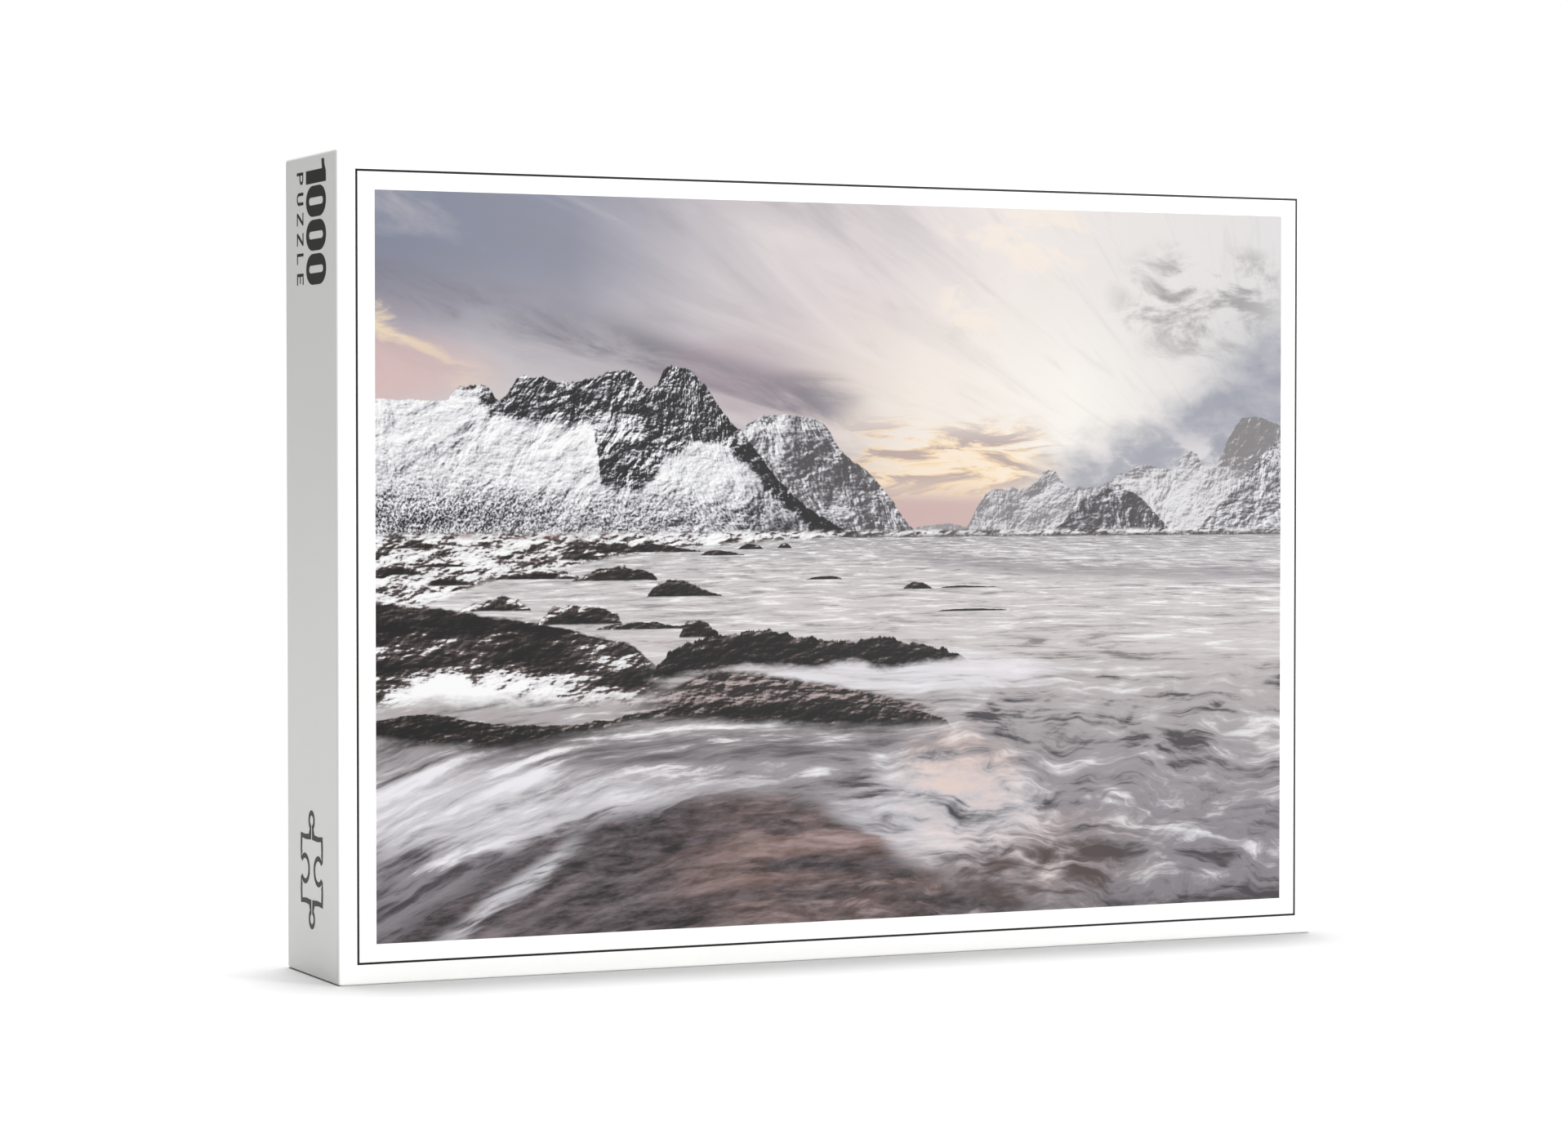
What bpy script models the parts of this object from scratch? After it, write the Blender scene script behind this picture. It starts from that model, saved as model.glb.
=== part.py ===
"""A boxed 1000-piece jigsaw puzzle, standing on one long edge.

A telescoping set-up box: a deep lid slides over a tray. Each is a folded chipboard blank, held
at its corners by paper stays and covered by a wrap that turns in over the rim. The tray holds a
folded poster and a film bag of puzzle pieces. Metres, +Z up, the lid's picture panel facing -Y,
and the origin under the middle of the box.
"""

import math
import random

import bmesh
import bpy
from mathutils import Matrix, Vector

# Driving dimensions of the closed box.
WIDTH = 0.370
DEPTH = 0.057
HEIGHT = 0.273

# Stock and fits.
BOARD = 0.0012
PAPER = 0.00025
GAP = 0.0003
SLIDING_FIT = 0.00065
SKIRT_SHORT = 0.0010
EDGE_RADIUS = 0.0010
CORNER_RADIUS = 0.0012
LEAST_RADIUS = 0.00012
CORNER_STEPS = 3
TURN_IN = 0.016
STAY_LEG = 0.018
SEAM = 0.0003

# A wall from outside to inside: wrap, corner stay, board, turned-in wrap, a glue gap between each.
STAY_INSET = PAPER + GAP
BOARD_INSET = STAY_INSET + PAPER + GAP
BOARD_INNER = BOARD_INSET + BOARD
WALL = BOARD_INNER + GAP + PAPER
PANEL = PAPER + GAP + BOARD

# The poster.
POSTER_WIDTH = 0.340
POSTER_HEIGHT = 0.240
LEAF_SPREAD = 0.0008
FOLD_STEPS = 6

# The bag and what it holds.
BAG_HALF_WIDTH = 0.158
BAG_HALF_DEPTH = 0.0220
BAG_SEAL_HALF = 0.0006
BAG_STEPS = 28
BAG_SQUARENESS = 5.0
VENT_RADIUS = 0.003
PIECE_PITCH = 0.0184
PIECE_THICK = 0.0019
PIECE_COLUMNS = 8
PIECE_ROWS = 3
PIECE_REACH = 0.0145
FRONT_LAYER = PIECE_THICK + 0.0022
KNOB_RADIUS = 0.0027
KNOB_REACH = 0.0036
NECK_HALF = 0.0016
KNOB_STEPS = 5

FRONT = -DEPTH / 2
BACK = DEPTH / 2
LID_RIM = BACK - SKIRT_SHORT
TRAY_RIM = FRONT + PANEL + GAP
TRAY_INSET = WALL + SLIDING_FIT
FLOOR = TRAY_INSET + WALL + GAP
MIDDLE = Vector((0, 0, HEIGHT / 2))

PRINTED_PAPER = ("printed_paper", (0.93, 0.93, 0.93), 0.35)
WHITE_PAPER = ("white_paper", (0.88, 0.88, 0.87), 0.5)
CHIPBOARD = ("chipboard", (0.50, 0.48, 0.45), 0.9)
STAY_PAPER = ("stay_paper", (0.62, 0.50, 0.36), 0.8)
POSTER_PAPER = ("poster_paper", (0.78, 0.77, 0.78), 0.4)
CLEAR_FILM = ("clear_film", (0.85, 0.88, 0.90), 0.1)
PUZZLE_BOARD = ("puzzle_board", (0.55, 0.53, 0.54), 0.6)


def clear_scene():
    for obj in list(bpy.data.objects):
        bpy.data.objects.remove(obj)


def material(finish):
    name, colour, roughness = finish
    made = bpy.data.materials.get(name) or bpy.data.materials.new(name)
    made.use_nodes = True
    shader = made.node_tree.nodes["Principled BSDF"]
    shader.inputs["Base Color"].default_value = (*colour, 1)
    shader.inputs["Roughness"].default_value = roughness
    shader.inputs["Metallic"].default_value = 0
    made.diffuse_color = (*colour, 1)
    return made


def carrier(name):
    """An empty that a body's pieces hang from, on the line along which the body slides."""
    empty = bpy.data.objects.new(name, None)
    empty.location = MIDDLE
    bpy.context.scene.collection.objects.link(empty)
    return empty


def add_object(name, bm, finish, parent):
    """Turns bm into a named object whose coordinates count from its parent's origin."""
    bmesh.ops.recalc_face_normals(bm, faces=bm.faces)
    mesh = bpy.data.meshes.new(name)
    bm.to_mesh(mesh)
    bm.free()
    mesh.materials.append(material(finish))
    obj = bpy.data.objects.new(name, mesh)
    bpy.context.scene.collection.objects.link(obj)
    obj.parent = parent
    return obj


def cut(obj, cutter):
    """Subtracts cutter, a helper that isn't part of the object."""
    cutter.hide_render = True
    cutter.display_type = "WIRE"
    modifier = obj.modifiers.new("cut_" + cutter.name, "BOOLEAN")
    modifier.operation = "DIFFERENCE"
    modifier.solver = "EXACT"
    modifier.object = cutter


def box_mesh(low, high):
    bm = bmesh.new()
    bmesh.ops.create_cube(bm, size=1)
    size = Vector(high) - Vector(low)
    bmesh.ops.scale(bm, vec=size, verts=bm.verts)
    bmesh.ops.translate(bm, vec=Vector(low) + size / 2, verts=bm.verts)
    return bm


def rounded_rectangle(inset, y):
    """The points, at depth y, of the box's outline taken in by inset, with round corners."""
    radius = max(CORNER_RADIUS - inset, LEAST_RADIUS)
    reach = Vector((WIDTH / 2 - inset - radius, 0, HEIGHT / 2 - inset - radius))
    points = []
    for quarter in range(4):
        side_x = 1 if quarter in (0, 3) else -1
        side_z = 1 if quarter in (0, 1) else -1
        for step in range(CORNER_STEPS + 1):
            turn = math.radians(90 * (quarter + step / CORNER_STEPS))
            points.append(Vector((
                side_x * reach.x + radius * math.cos(turn),
                y,
                side_z * reach.z + radius * math.sin(turn),
            )))
    return points


def quarter_arc(inset, y, radius, start_deg, steps=3):
    """Profile points (inset, y) on a quarter circle round (inset, y), turning anticlockwise."""
    turns = [math.radians(start_deg + 90 * s / steps) for s in range(steps + 1)]
    return [(inset + radius * math.cos(t), y + radius * math.sin(t)) for t in turns]


def join_rings(bm, first, second):
    for i in range(len(first)):
        j = (i + 1) % len(first)
        bm.faces.new((first[i], first[j], second[j], second[i]))


def sweep_round_box(profile):
    """Carries a profile of (inset, y) points round the box's outline, and closes both ends flat."""
    bm = bmesh.new()
    rings = [[bm.verts.new(p) for p in rounded_rectangle(*point)] for point in profile]
    for first, second in zip(rings, rings[1:]):
        join_rings(bm, first, second)
    bm.faces.new(rings[0])
    bm.faces.new(list(reversed(rings[-1])))
    return bm


def half_box_profiles(rim_depth):
    """Wrap and board profiles of a half box whose panel lies at y 0 and whose rim lies at rim_depth."""
    rim_radius = WALL / 4
    wrap = quarter_arc(EDGE_RADIUS, EDGE_RADIUS, EDGE_RADIUS, 180)[::-1]
    wrap += quarter_arc(rim_radius, rim_depth - rim_radius, rim_radius, 90)[::-1]
    wrap += quarter_arc(WALL - rim_radius, rim_depth - rim_radius, rim_radius, 0)[::-1]
    wrap += [
        (WALL, rim_depth - TURN_IN),
        (WALL - PAPER, rim_depth - TURN_IN),
        (WALL - PAPER, rim_depth - rim_radius),
        (WALL - rim_radius, rim_depth - PAPER),
        (rim_radius, rim_depth - PAPER),
        (PAPER, rim_depth - rim_radius),
    ]
    wrap += quarter_arc(EDGE_RADIUS, EDGE_RADIUS, EDGE_RADIUS - PAPER, 180)
    fold = BOARD / 2
    board = quarter_arc(BOARD_INSET + fold, PAPER + GAP + fold, fold, 180)[::-1]
    board += [
        (BOARD_INSET, rim_depth - rim_radius - GAP),
        (BOARD_INNER, rim_depth - rim_radius - GAP),
        (BOARD_INNER, PANEL),
    ]
    return wrap, board


def placed(profile, panel_y, direction, inset):
    return [(i + inset, panel_y + direction * y) for i, y in profile]


def corner_seam_cutters(prefix, parent, inset, panel_y, direction, rim_depth):
    """Thin slots where the short walls butt against the long ones. They stop at the panel."""
    inner = BOARD_INNER + inset
    outer = BOARD_INSET + inset
    depths = sorted((panel_y + direction * PANEL, panel_y + direction * (rim_depth + GAP)))
    for side_x in (-1, 1):
        for side_z in (-1, 1):
            xs = sorted((side_x * (WIDTH / 2 - outer + GAP), side_x * (WIDTH / 2 - inner - GAP)))
            zs = sorted((side_z * (HEIGHT / 2 - inner), side_z * (HEIGHT / 2 - inner - SEAM)))
            bm = box_mesh((xs[0], depths[0], zs[0]), (xs[1], depths[1], zs[1]))
            yield add_object(f"{prefix}_seam_{side_x}_{side_z}", bm, CHIPBOARD, parent)


def corner_stay(name, parent, side_x, side_z, inset, y_from, y_to):
    """An angle of stay paper round one corner, between the board and the wrap."""
    x_out = WIDTH / 2 - inset - STAY_INSET
    z_out = HEIGHT / 2 - inset - STAY_INSET
    outline = [
        (x_out, z_out),
        (x_out - STAY_LEG, z_out),
        (x_out - STAY_LEG, z_out - PAPER),
        (x_out - PAPER, z_out - PAPER),
        (x_out - PAPER, z_out - STAY_LEG),
        (x_out, z_out - STAY_LEG),
    ]
    bm = bmesh.new()
    ends = [[bm.verts.new((side_x * x, y, side_z * z)) for x, z in outline] for y in (y_from, y_to)]
    join_rings(bm, *ends)
    bm.faces.new(ends[0])
    bm.faces.new(ends[1])
    return add_object(name, bm, STAY_PAPER, parent)


def half_box(prefix, parent, panel_y, direction, inset, rim_depth, wrap_finish):
    """The lid or the tray: a board, its corner stays, and the wrap over them."""
    wrap, board = half_box_profiles(rim_depth)
    bm = sweep_round_box(placed(board, panel_y, direction, inset))
    board_obj = add_object(prefix + "_board", bm, CHIPBOARD, parent)
    for cutter in corner_seam_cutters(prefix, parent, inset, panel_y, direction, rim_depth):
        cut(board_obj, cutter)
    bm = sweep_round_box(placed(wrap, panel_y, direction, inset))
    add_object(prefix + "_wrap", bm, wrap_finish, parent)
    stay_from = panel_y + direction * EDGE_RADIUS * 2
    stay_to = panel_y + direction * (rim_depth - WALL)
    corners = [(-1, 1), (1, 1), (1, -1), (-1, -1)]
    for number, (side_x, side_z) in enumerate(corners, 1):
        name = f"{prefix}_corner_stay_{number}"
        corner_stay(name, parent, side_x, side_z, inset, stay_from, stay_to)


def extrude_outline(outline, axis_from, axis_to, point):
    """A prism whose ends are the outline; point(a, b, along) gives a corner's place."""
    bm = bmesh.new()
    ends = [[bm.verts.new(point(a, b, along)) for a, b in outline] for along in (axis_from, axis_to)]
    join_rings(bm, *ends)
    bm.faces.new(ends[0])
    bm.faces.new(ends[1])
    return bm


def poster(parent):
    """A sheet folded once: two leaves that meet in a round fold at the bottom."""
    inner = LEAF_SPREAD / 2
    outer = inner + PAPER
    front = TRAY_RIM + GAP + outer
    bottom = FLOOR - HEIGHT / 2 + outer
    top = bottom + POSTER_HEIGHT - outer
    turns = [math.pi * (1 + s / FOLD_STEPS) for s in range(FOLD_STEPS + 1)]
    outline = [(front + outer * math.cos(t), bottom + outer * math.sin(t)) for t in turns]
    outline += [(front + outer, top), (front + inner, top)]
    outline += [(front + inner * math.cos(t), bottom + inner * math.sin(t)) for t in turns[::-1]]
    outline += [(front - inner, top), (front - outer, top)]
    half = POSTER_WIDTH / 2
    bm = extrude_outline(outline, -half, half, lambda y, z, x: (x, y, z))
    add_object("poster", bm, POSTER_PAPER, parent)


def superellipse(half_x, half_y, centre_y, z, squareness):
    """A ring of points, square-shouldered where the bag is full."""
    points = []
    for step in range(BAG_STEPS):
        turn = 2 * math.pi * step / BAG_STEPS
        c, s = math.cos(turn), math.sin(turn)
        x = half_x * math.copysign(abs(c) ** (2 / squareness), c)
        y = half_y * math.copysign(abs(s) ** (2 / squareness), s)
        points.append(Vector((x, centre_y + y, z)))
    return points


# The bag's stations from bottom seal to top seal: height above the tray's wall, share of the half
# width, share of the half depth, and how far the station leans back towards the tray's panel.
BAG_STATIONS = [
    (0.000, 0.93, 0.60, 0.000),
    (0.002, 0.97, 0.80, 0.000),
    (0.008, 1.00, 0.97, 0.000),
    (0.020, 1.00, 1.00, 0.000),
    (0.110, 1.00, 1.00, 0.000),
    (0.124, 0.99, 0.94, 0.000),
    (0.138, 0.97, 0.74, 0.002),
    (0.150, 0.95, 0.42, 0.006),
    (0.160, 0.94, 0.14, 0.011),
    (0.168, 0.94, 0.03, 0.015),
    (0.198, 0.94, 0.03, 0.021),
    (0.206, 0.94, 0.03, 0.021),
]
BAG_CENTRE = 0.0012


def bag_rings(bm, shrink, front_shrink, top_station):
    """The bag's surface, moved in by shrink all round and by front_shrink more at the front."""
    rings = []
    stations = BAG_STATIONS[:top_station]
    for number, (height, width_share, depth_share, lean) in enumerate(stations):
        half_y = max(BAG_HALF_DEPTH * depth_share, BAG_SEAL_HALF) - shrink - front_shrink / 2
        centre = BAG_CENTRE + lean + front_shrink / 2
        z = FLOOR - HEIGHT / 2 + height
        z += shrink if number == 0 else 0
        z -= shrink if number == len(stations) - 1 else 0
        half_x = BAG_HALF_WIDTH * width_share - shrink
        ring = superellipse(half_x, half_y, centre, z, BAG_SQUARENESS)
        rings.append([bm.verts.new(p) for p in ring])
    for first, second in zip(rings, rings[1:]):
        join_rings(bm, first, second)
    bm.faces.new(rings[0])
    bm.faces.new(rings[-1])


def piece_bag(parent):
    """The film bag, a thin shell opened by a punched vent near its top seal."""
    outer = bmesh.new()
    bag_rings(outer, 0, 0, len(BAG_STATIONS))
    bag = add_object("piece_bag", outer, CLEAR_FILM, parent)
    inner = bmesh.new()
    bag_rings(inner, PAPER, 0, len(BAG_STATIONS))
    cut(bag, add_object("bag_inside", inner, CLEAR_FILM, parent))
    below, above = BAG_STATIONS[-3], BAG_STATIONS[-2]
    vent_y = BAG_CENTRE + (below[3] + above[3]) / 2
    vent_z = FLOOR - HEIGHT / 2 + (below[0] + above[0]) / 2
    bm = bmesh.new()
    bmesh.ops.create_cone(
        bm, cap_ends=True, segments=10, radius1=VENT_RADIUS, radius2=VENT_RADIUS, depth=VENT_RADIUS * 4
    )
    bmesh.ops.rotate(bm, matrix=Matrix.Rotation(math.pi / 2, 3, "X"), verts=bm.verts)
    bmesh.ops.translate(bm, vec=(0, vent_y, vent_z), verts=bm.verts)
    cut(bag, add_object("bag_vent", bm, CLEAR_FILM, parent))


def bag_front(x):
    """The depth of the full bag's front at x, measured on its superellipse."""
    share = (x / BAG_HALF_WIDTH) ** BAG_SQUARENESS
    return BAG_CENTRE - BAG_HALF_DEPTH * (1 - share) ** (1 / BAG_SQUARENESS)


def loose_pieces(parent):
    """The pieces behind the front layer, joined into the heap that they settle into."""
    bm = bmesh.new()
    top_station = 8
    bag_rings(bm, PAPER + 4 * GAP, FRONT_LAYER, top_station)
    add_object("loose_pieces", bm, PUZZLE_BOARD, parent)


def side_points(kind):
    """One side of a piece, from corner to corner along +X: kind is 1 knob, -1 socket or 0 straight."""
    half = PIECE_PITCH / 2
    if kind == 0:
        return [(-half, 0)]
    centre = KNOB_REACH
    neck = math.asin(NECK_HALF / KNOB_RADIUS)
    sweep = 2 * (math.pi - neck)
    points = [(-half, 0), (-NECK_HALF - GAP, 0)]
    for step in range(KNOB_STEPS + 1):
        turn = -math.pi / 2 - neck - sweep * step / KNOB_STEPS
        points.append((KNOB_RADIUS * math.cos(turn), centre + KNOB_RADIUS * math.sin(turn)))
    points.append((NECK_HALF + GAP, 0))
    return [(x, y * kind) for x, y in points]


def piece_outline(kinds):
    """A piece's outline, clockwise from its upper left corner, one kind for each side."""
    outline = []
    half = PIECE_PITCH / 2
    for side, kind in enumerate(kinds):
        turn = Matrix.Rotation(-math.pi / 2 * side, 2)
        outline += [turn @ Vector((x, y + half)) for x, y in side_points(kind)]
    return outline


def puzzle_pieces(parent):
    """The pieces that lie flat against the front of the bag, in a loose and turned order."""
    rng = random.Random(7)
    spacing_x = 2 * 0.84 * BAG_HALF_WIDTH / PIECE_COLUMNS
    spacing_z = 0.034
    number = 0
    for row in range(PIECE_ROWS):
        for column in range(PIECE_COLUMNS):
            number += 1
            kinds = [rng.choice((-1, 1)) for _ in range(4)]
            if rng.random() < 0.2:
                kinds[rng.randrange(4)] = 0
            outline = piece_outline(kinds)
            bm = extrude_outline(outline, 0, PIECE_THICK, lambda a, b, along: (a, along, b))
            turn = Matrix.Rotation(rng.uniform(-math.pi, math.pi), 3, "Y")
            bmesh.ops.rotate(bm, matrix=turn, verts=bm.verts)
            x = spacing_x * (column - (PIECE_COLUMNS - 1) / 2)
            y = bag_front(abs(x) + PIECE_REACH) + PAPER + 2 * GAP
            z = FLOOR - HEIGHT / 2 + 0.028 + spacing_z * row
            piece = add_object(f"puzzle_piece_{number:02d}", bm, PUZZLE_BOARD, parent)
            piece.location = (x, y, z)


def main():
    clear_scene()
    tray = carrier("tray")
    lid = carrier("lid")
    contents = carrier("bag")
    half_box("tray", tray, BACK, -1, TRAY_INSET, BACK - TRAY_RIM, WHITE_PAPER)
    half_box("lid", lid, FRONT, 1, 0, LID_RIM - FRONT, PRINTED_PAPER)
    poster(carrier("poster_slide"))
    piece_bag(contents)
    loose_pieces(contents)
    puzzle_pieces(contents)


main()
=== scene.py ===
"""Looks of the boxed jigsaw puzzle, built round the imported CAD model.

The lid and tray get paper covers with soft folded edges, the lid gets its printed picture, line and
side print, and the tray holds a poster and a crinkled film bag of interlocking pieces. Metres.
"""

import math
import random

import bmesh
import bpy
from mathutils import Euler, Matrix, Vector, noise

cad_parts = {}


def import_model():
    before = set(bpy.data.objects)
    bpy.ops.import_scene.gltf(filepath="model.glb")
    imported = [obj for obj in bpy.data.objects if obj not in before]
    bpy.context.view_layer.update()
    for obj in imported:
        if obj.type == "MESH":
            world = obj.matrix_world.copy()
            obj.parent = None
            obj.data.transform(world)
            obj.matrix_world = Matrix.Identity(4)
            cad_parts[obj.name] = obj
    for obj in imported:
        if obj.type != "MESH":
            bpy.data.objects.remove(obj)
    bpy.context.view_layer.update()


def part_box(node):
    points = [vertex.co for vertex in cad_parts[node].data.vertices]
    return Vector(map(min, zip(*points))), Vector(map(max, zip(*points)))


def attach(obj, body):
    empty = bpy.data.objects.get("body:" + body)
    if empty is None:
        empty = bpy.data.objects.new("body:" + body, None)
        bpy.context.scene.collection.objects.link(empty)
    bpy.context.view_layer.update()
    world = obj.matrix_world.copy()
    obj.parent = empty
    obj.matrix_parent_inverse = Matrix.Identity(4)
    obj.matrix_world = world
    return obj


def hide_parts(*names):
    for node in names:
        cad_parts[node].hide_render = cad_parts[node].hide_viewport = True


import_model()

MM = 0.001

# The closed box, from the frame.
LID_LOW, LID_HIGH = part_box("lid_wrap")
TRAY_LOW, TRAY_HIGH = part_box("tray_wrap")
FRONT_Y = LID_LOW.y
LEFT_X = LID_LOW.x
TOP_Z = LID_HIGH.z

# Stock.
PAPER = 0.25 * MM
WALL = 2.85 * MM
TURN_IN = 16 * MM
EDGE_RADIUS = 0.9 * MM
CORNER_RADIUS = 1.2 * MM
LEAST_RADIUS = 0.12 * MM
RIM_EASE_DEPTH = 3.6 * MM
RIM_EASE_INSET = 0.8 * MM
ARC_STEPS = 6

# Print on the lid.
INK = 0.02 * MM
INK_LIFT = 0.015 * MM
PRINT_GLOSS = (0.4, 0.15)  # roughness and specular level
LINE_INSET = 6.6 * MM
LINE_WIDTH = 0.75 * MM
PICTURE_INSET = 13.2 * MM
DIGIT_HEIGHT = 21.3 * MM
DIGIT_BASE = 31.6 * MM
DIGIT_START = 2.5 * MM
DIGIT_PITCH = 11.2 * MM
WORD_BASE = 41.6 * MM
WORD_START = 5.7 * MM
WORD_PITCH = 6.72 * MM
SIGN_HALF = 11.8 * MM
SIGN_STROKE = 1.75 * MM
SIGN_PLACE = (237.4 * MM, 27.6 * MM)

# Contents. Lengths without MM are millimetres, and go with the bag's stations.
LEAF_SPREAD = 0.8 * MM
POSTER_BOW = 1.1 * MM
POSTER_MARGIN = 7 * MM
POSTER_ROWS = 48
POSTER_COLUMNS = 64
BAG_HALF_WIDTH = 158 * MM
BAG_HALF_DEPTH = 22 * MM
BAG_CENTRE = 1.2 * MM
BAG_SQUARENESS = 5.0
BAG_ROWS = 96
BAG_STEPS = 160
SEAL_HALF = 0.5 * MM
LUMP = 0.5 * MM
CREASE = 0.45 * MM
PUCKER = 0.5 * MM
PUCKER_HEIGHT = 156
PUCKER_REACH = 22
TOP_SEAL = 170 * MM
BOTTOM_SEAL = 3.5 * MM
SEAL_RIBS = 5200
VENT_RADIUS = 3 * MM
VENT_PLACE = (0, 18 * MM, 183 * MM)
PIECE_HALF = 9.2 * MM
PIECE_THICK = 1.9 * MM
KNOB_RADIUS = 2.7 * MM
KNOB_REACH = 3.6 * MM
NECK_HALF = 1.6 * MM
PIECE_EDGE = 0.16 * MM
PIECE_COLUMNS = 8
PIECE_ROWS = 3
FRONT_SPREAD = 0.84
FRONT_FOOT = 28 * MM
FRONT_ROW_STEP = 34 * MM
PIECE_REACH = 14.5 * MM
FRONT_GAP = 0.6 * MM
LOOSE_PIECES = 976
LOOSE_ROWS = 5
LOOSE_COLUMNS = 13
LOOSE_LAYERS = 14
TOP_LAYERS = 6
LOOSE_REACH = 14
LOOSE_FOOT = 17.5
LOOSE_ROW_STEP = 23.2
LOOSE_COLUMN_STEP = 23.4
LOOSE_SHIFT = 0.8
LOOSE_TILT = math.radians(1.6)
FRONT_SEED = 7
HEAP_SEED = 31


# ---------------------------------------------------------------- node formulas


def operator(operation, swapped=False):
    def apply(value, other):
        a, b = (other, value) if swapped else (value, other)
        return value.nodes.math(operation, a, b)
    return apply


class Value:
    """An output in a node tree. Arithmetic on it adds Math nodes."""

    def __init__(self, nodes, socket):
        self.nodes = nodes
        self.socket = socket

    __add__ = operator("ADD")
    __radd__ = operator("ADD", swapped=True)
    __sub__ = operator("SUBTRACT")
    __rsub__ = operator("SUBTRACT", swapped=True)
    __mul__ = operator("MULTIPLY")
    __rmul__ = operator("MULTIPLY", swapped=True)
    __truediv__ = operator("DIVIDE")

    def __abs__(self):
        return self.nodes.math("ABSOLUTE", self)


class Nodes:
    """Adds nodes to one material, or to a tree that is there. An input is a number, a tuple or a Value."""

    def __init__(self, name, tree=None):
        if tree:
            self.tree = tree
            return
        self.material = bpy.data.materials.new(name)
        self.material.use_nodes = True
        self.tree = self.material.node_tree
        self.shader = self.tree.nodes["Principled BSDF"]

    def add(self, kind, inputs, output=0, **settings):
        node = self.tree.nodes.new("ShaderNode" + kind)
        for name, setting in settings.items():
            setattr(node, name, setting)
        for key, value in inputs.items():
            self.plug(value, node.inputs[key])
        return Value(self, node.outputs[output])

    def plug(self, value, socket):
        if isinstance(value, Value):
            self.tree.links.new(value.socket, socket)
        else:
            socket.default_value = value

    def set(self, socket, value):
        self.plug(value, self.shader.inputs[socket])

    def math(self, operation, a, b=0.0, c=0.0):
        return self.add("Math", {0: a, 1: b, 2: c}, operation=operation)

    def position(self):
        """Object coordinates."""
        return self.add("TexCoord", {}, output=3)

    def parts(self, vector):
        return [self.add("SeparateXYZ", {0: vector}, output=index) for index in range(3)]

    def vector(self, x, y=0.0, z=0.0):
        return self.add("CombineXYZ", {0: x, 1: y, 2: z})

    def noise(self, place, detail, rough, warp=0.0, scale=1.0, dimensions="3D"):
        """Soft noise at a place, which is a vector, a tuple of numbers or, in 1D, one number."""
        place = self.vector(*place) if isinstance(place, tuple) else place
        inputs = {"Scale": scale, "Detail": detail, "Roughness": rough, "Distortion": warp}
        inputs["W" if dimensions == "1D" else "Vector"] = place
        return self.add("TexNoise", inputs, noise_dimensions=dimensions)

    def cells(self, place, feature="F1", detail=0.0, rough=0.5):
        """Distance to the middle of a cell, or to its edge."""
        inputs = {"Vector": self.vector(*place), "Scale": 1.0, "Detail": detail, "Roughness": rough}
        return self.add("TexVoronoi", inputs, feature=feature)

    def smooth(self, low, high, value):
        """0 below low, 1 above high, with a soft step between. high may be the lower one."""
        inputs = {"Value": value, "From Min": low, "From Max": high}
        return self.add("MapRange", inputs, interpolation_type="SMOOTHSTEP")

    def curve(self, value, points):
        """A curve through points (input, output), all within 0 and 1."""
        made = self.add("FloatCurve", {"Value": value})
        mapping = made.socket.node.mapping
        line = mapping.curves[0]
        line.points[0].location = points[0]
        line.points[-1].location = points[-1]
        for point in points[1:-1]:
            line.points.new(*point)
        for point in line.points:
            point.handle_type = "AUTO_CLAMPED"
        mapping.update()
        return made

    def ramp(self, value, stops):
        """A colour from stops (place, hexadecimal sRGB)."""
        made = self.add("ValToRGB", {0: value})
        elements = made.socket.node.color_ramp.elements
        elements[0].position, elements[0].color = stops[0][0], rgb(stops[0][1])
        elements[1].position, elements[1].color = stops[-1][0], rgb(stops[-1][1])
        for place, colour in stops[1:-1]:
            elements.new(place).color = rgb(colour)
        return made

    def mix(self, share, a, b, blend="MIX"):
        """Colour a where share is 0 and b where it is 1. Either may be hexadecimal sRGB."""
        a = rgb(a) if isinstance(a, str) else a
        b = rgb(b) if isinstance(b, str) else b
        return self.add("Mix", {0: share, 6: a, 7: b}, output=2, data_type="RGBA", blend_type=blend)

    def surface(self, colour, roughness, specular):
        self.set("Base Color", colour)
        self.set("Roughness", roughness)
        self.set("Specular IOR Level", specular)

    def bump(self, height, distance, strength):
        normal = self.add("Bump", {"Strength": strength, "Distance": distance, "Height": height})
        self.set("Normal", normal)


def new_group(name, function, count):
    """A node group made by function(n, *values), which takes count numbers and returns a list of Values."""
    group = bpy.data.node_groups.new(name, "ShaderNodeTree")
    for number in range(count):
        group.interface.new_socket(f"in_{number}", in_out="INPUT", socket_type="NodeSocketFloat")
    inputs = group.nodes.new("NodeGroupInput")
    n = Nodes(name, group)
    made = function(n, *[Value(n, socket) for socket in inputs.outputs[:count]])
    for number, value in enumerate(made):
        kind = "NodeSocketColor" if value.socket.type == "RGBA" else "NodeSocketFloat"
        group.interface.new_socket(f"out_{number}", in_out="OUTPUT", socket_type=kind)
    output = group.nodes.new("NodeGroupOutput")
    for value, socket in zip(made, output.inputs):
        n.plug(value, socket)
    return group


def use_group(n, group, *values):
    """One copy of a node group in n, with its outputs."""
    node = n.tree.nodes.new("ShaderNodeGroup")
    node.node_tree = group
    for value, socket in zip(values, node.inputs):
        n.plug(value, socket)
    return [Value(n, socket) for socket in node.outputs]


def rgb(text):
    """Linear colour from hexadecimal sRGB."""
    parts = [int(text[i:i + 2], 16) / 255 for i in (0, 2, 4)]
    return (*[p / 12.92 if p <= 0.04045 else ((p + 0.055) / 1.055) ** 2.4 for p in parts], 1.0)


# ---------------------------------------------------------------- the printed picture


PICTURE_ASPECT = 1.39
PRINT_DENSITY = 0.76


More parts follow.
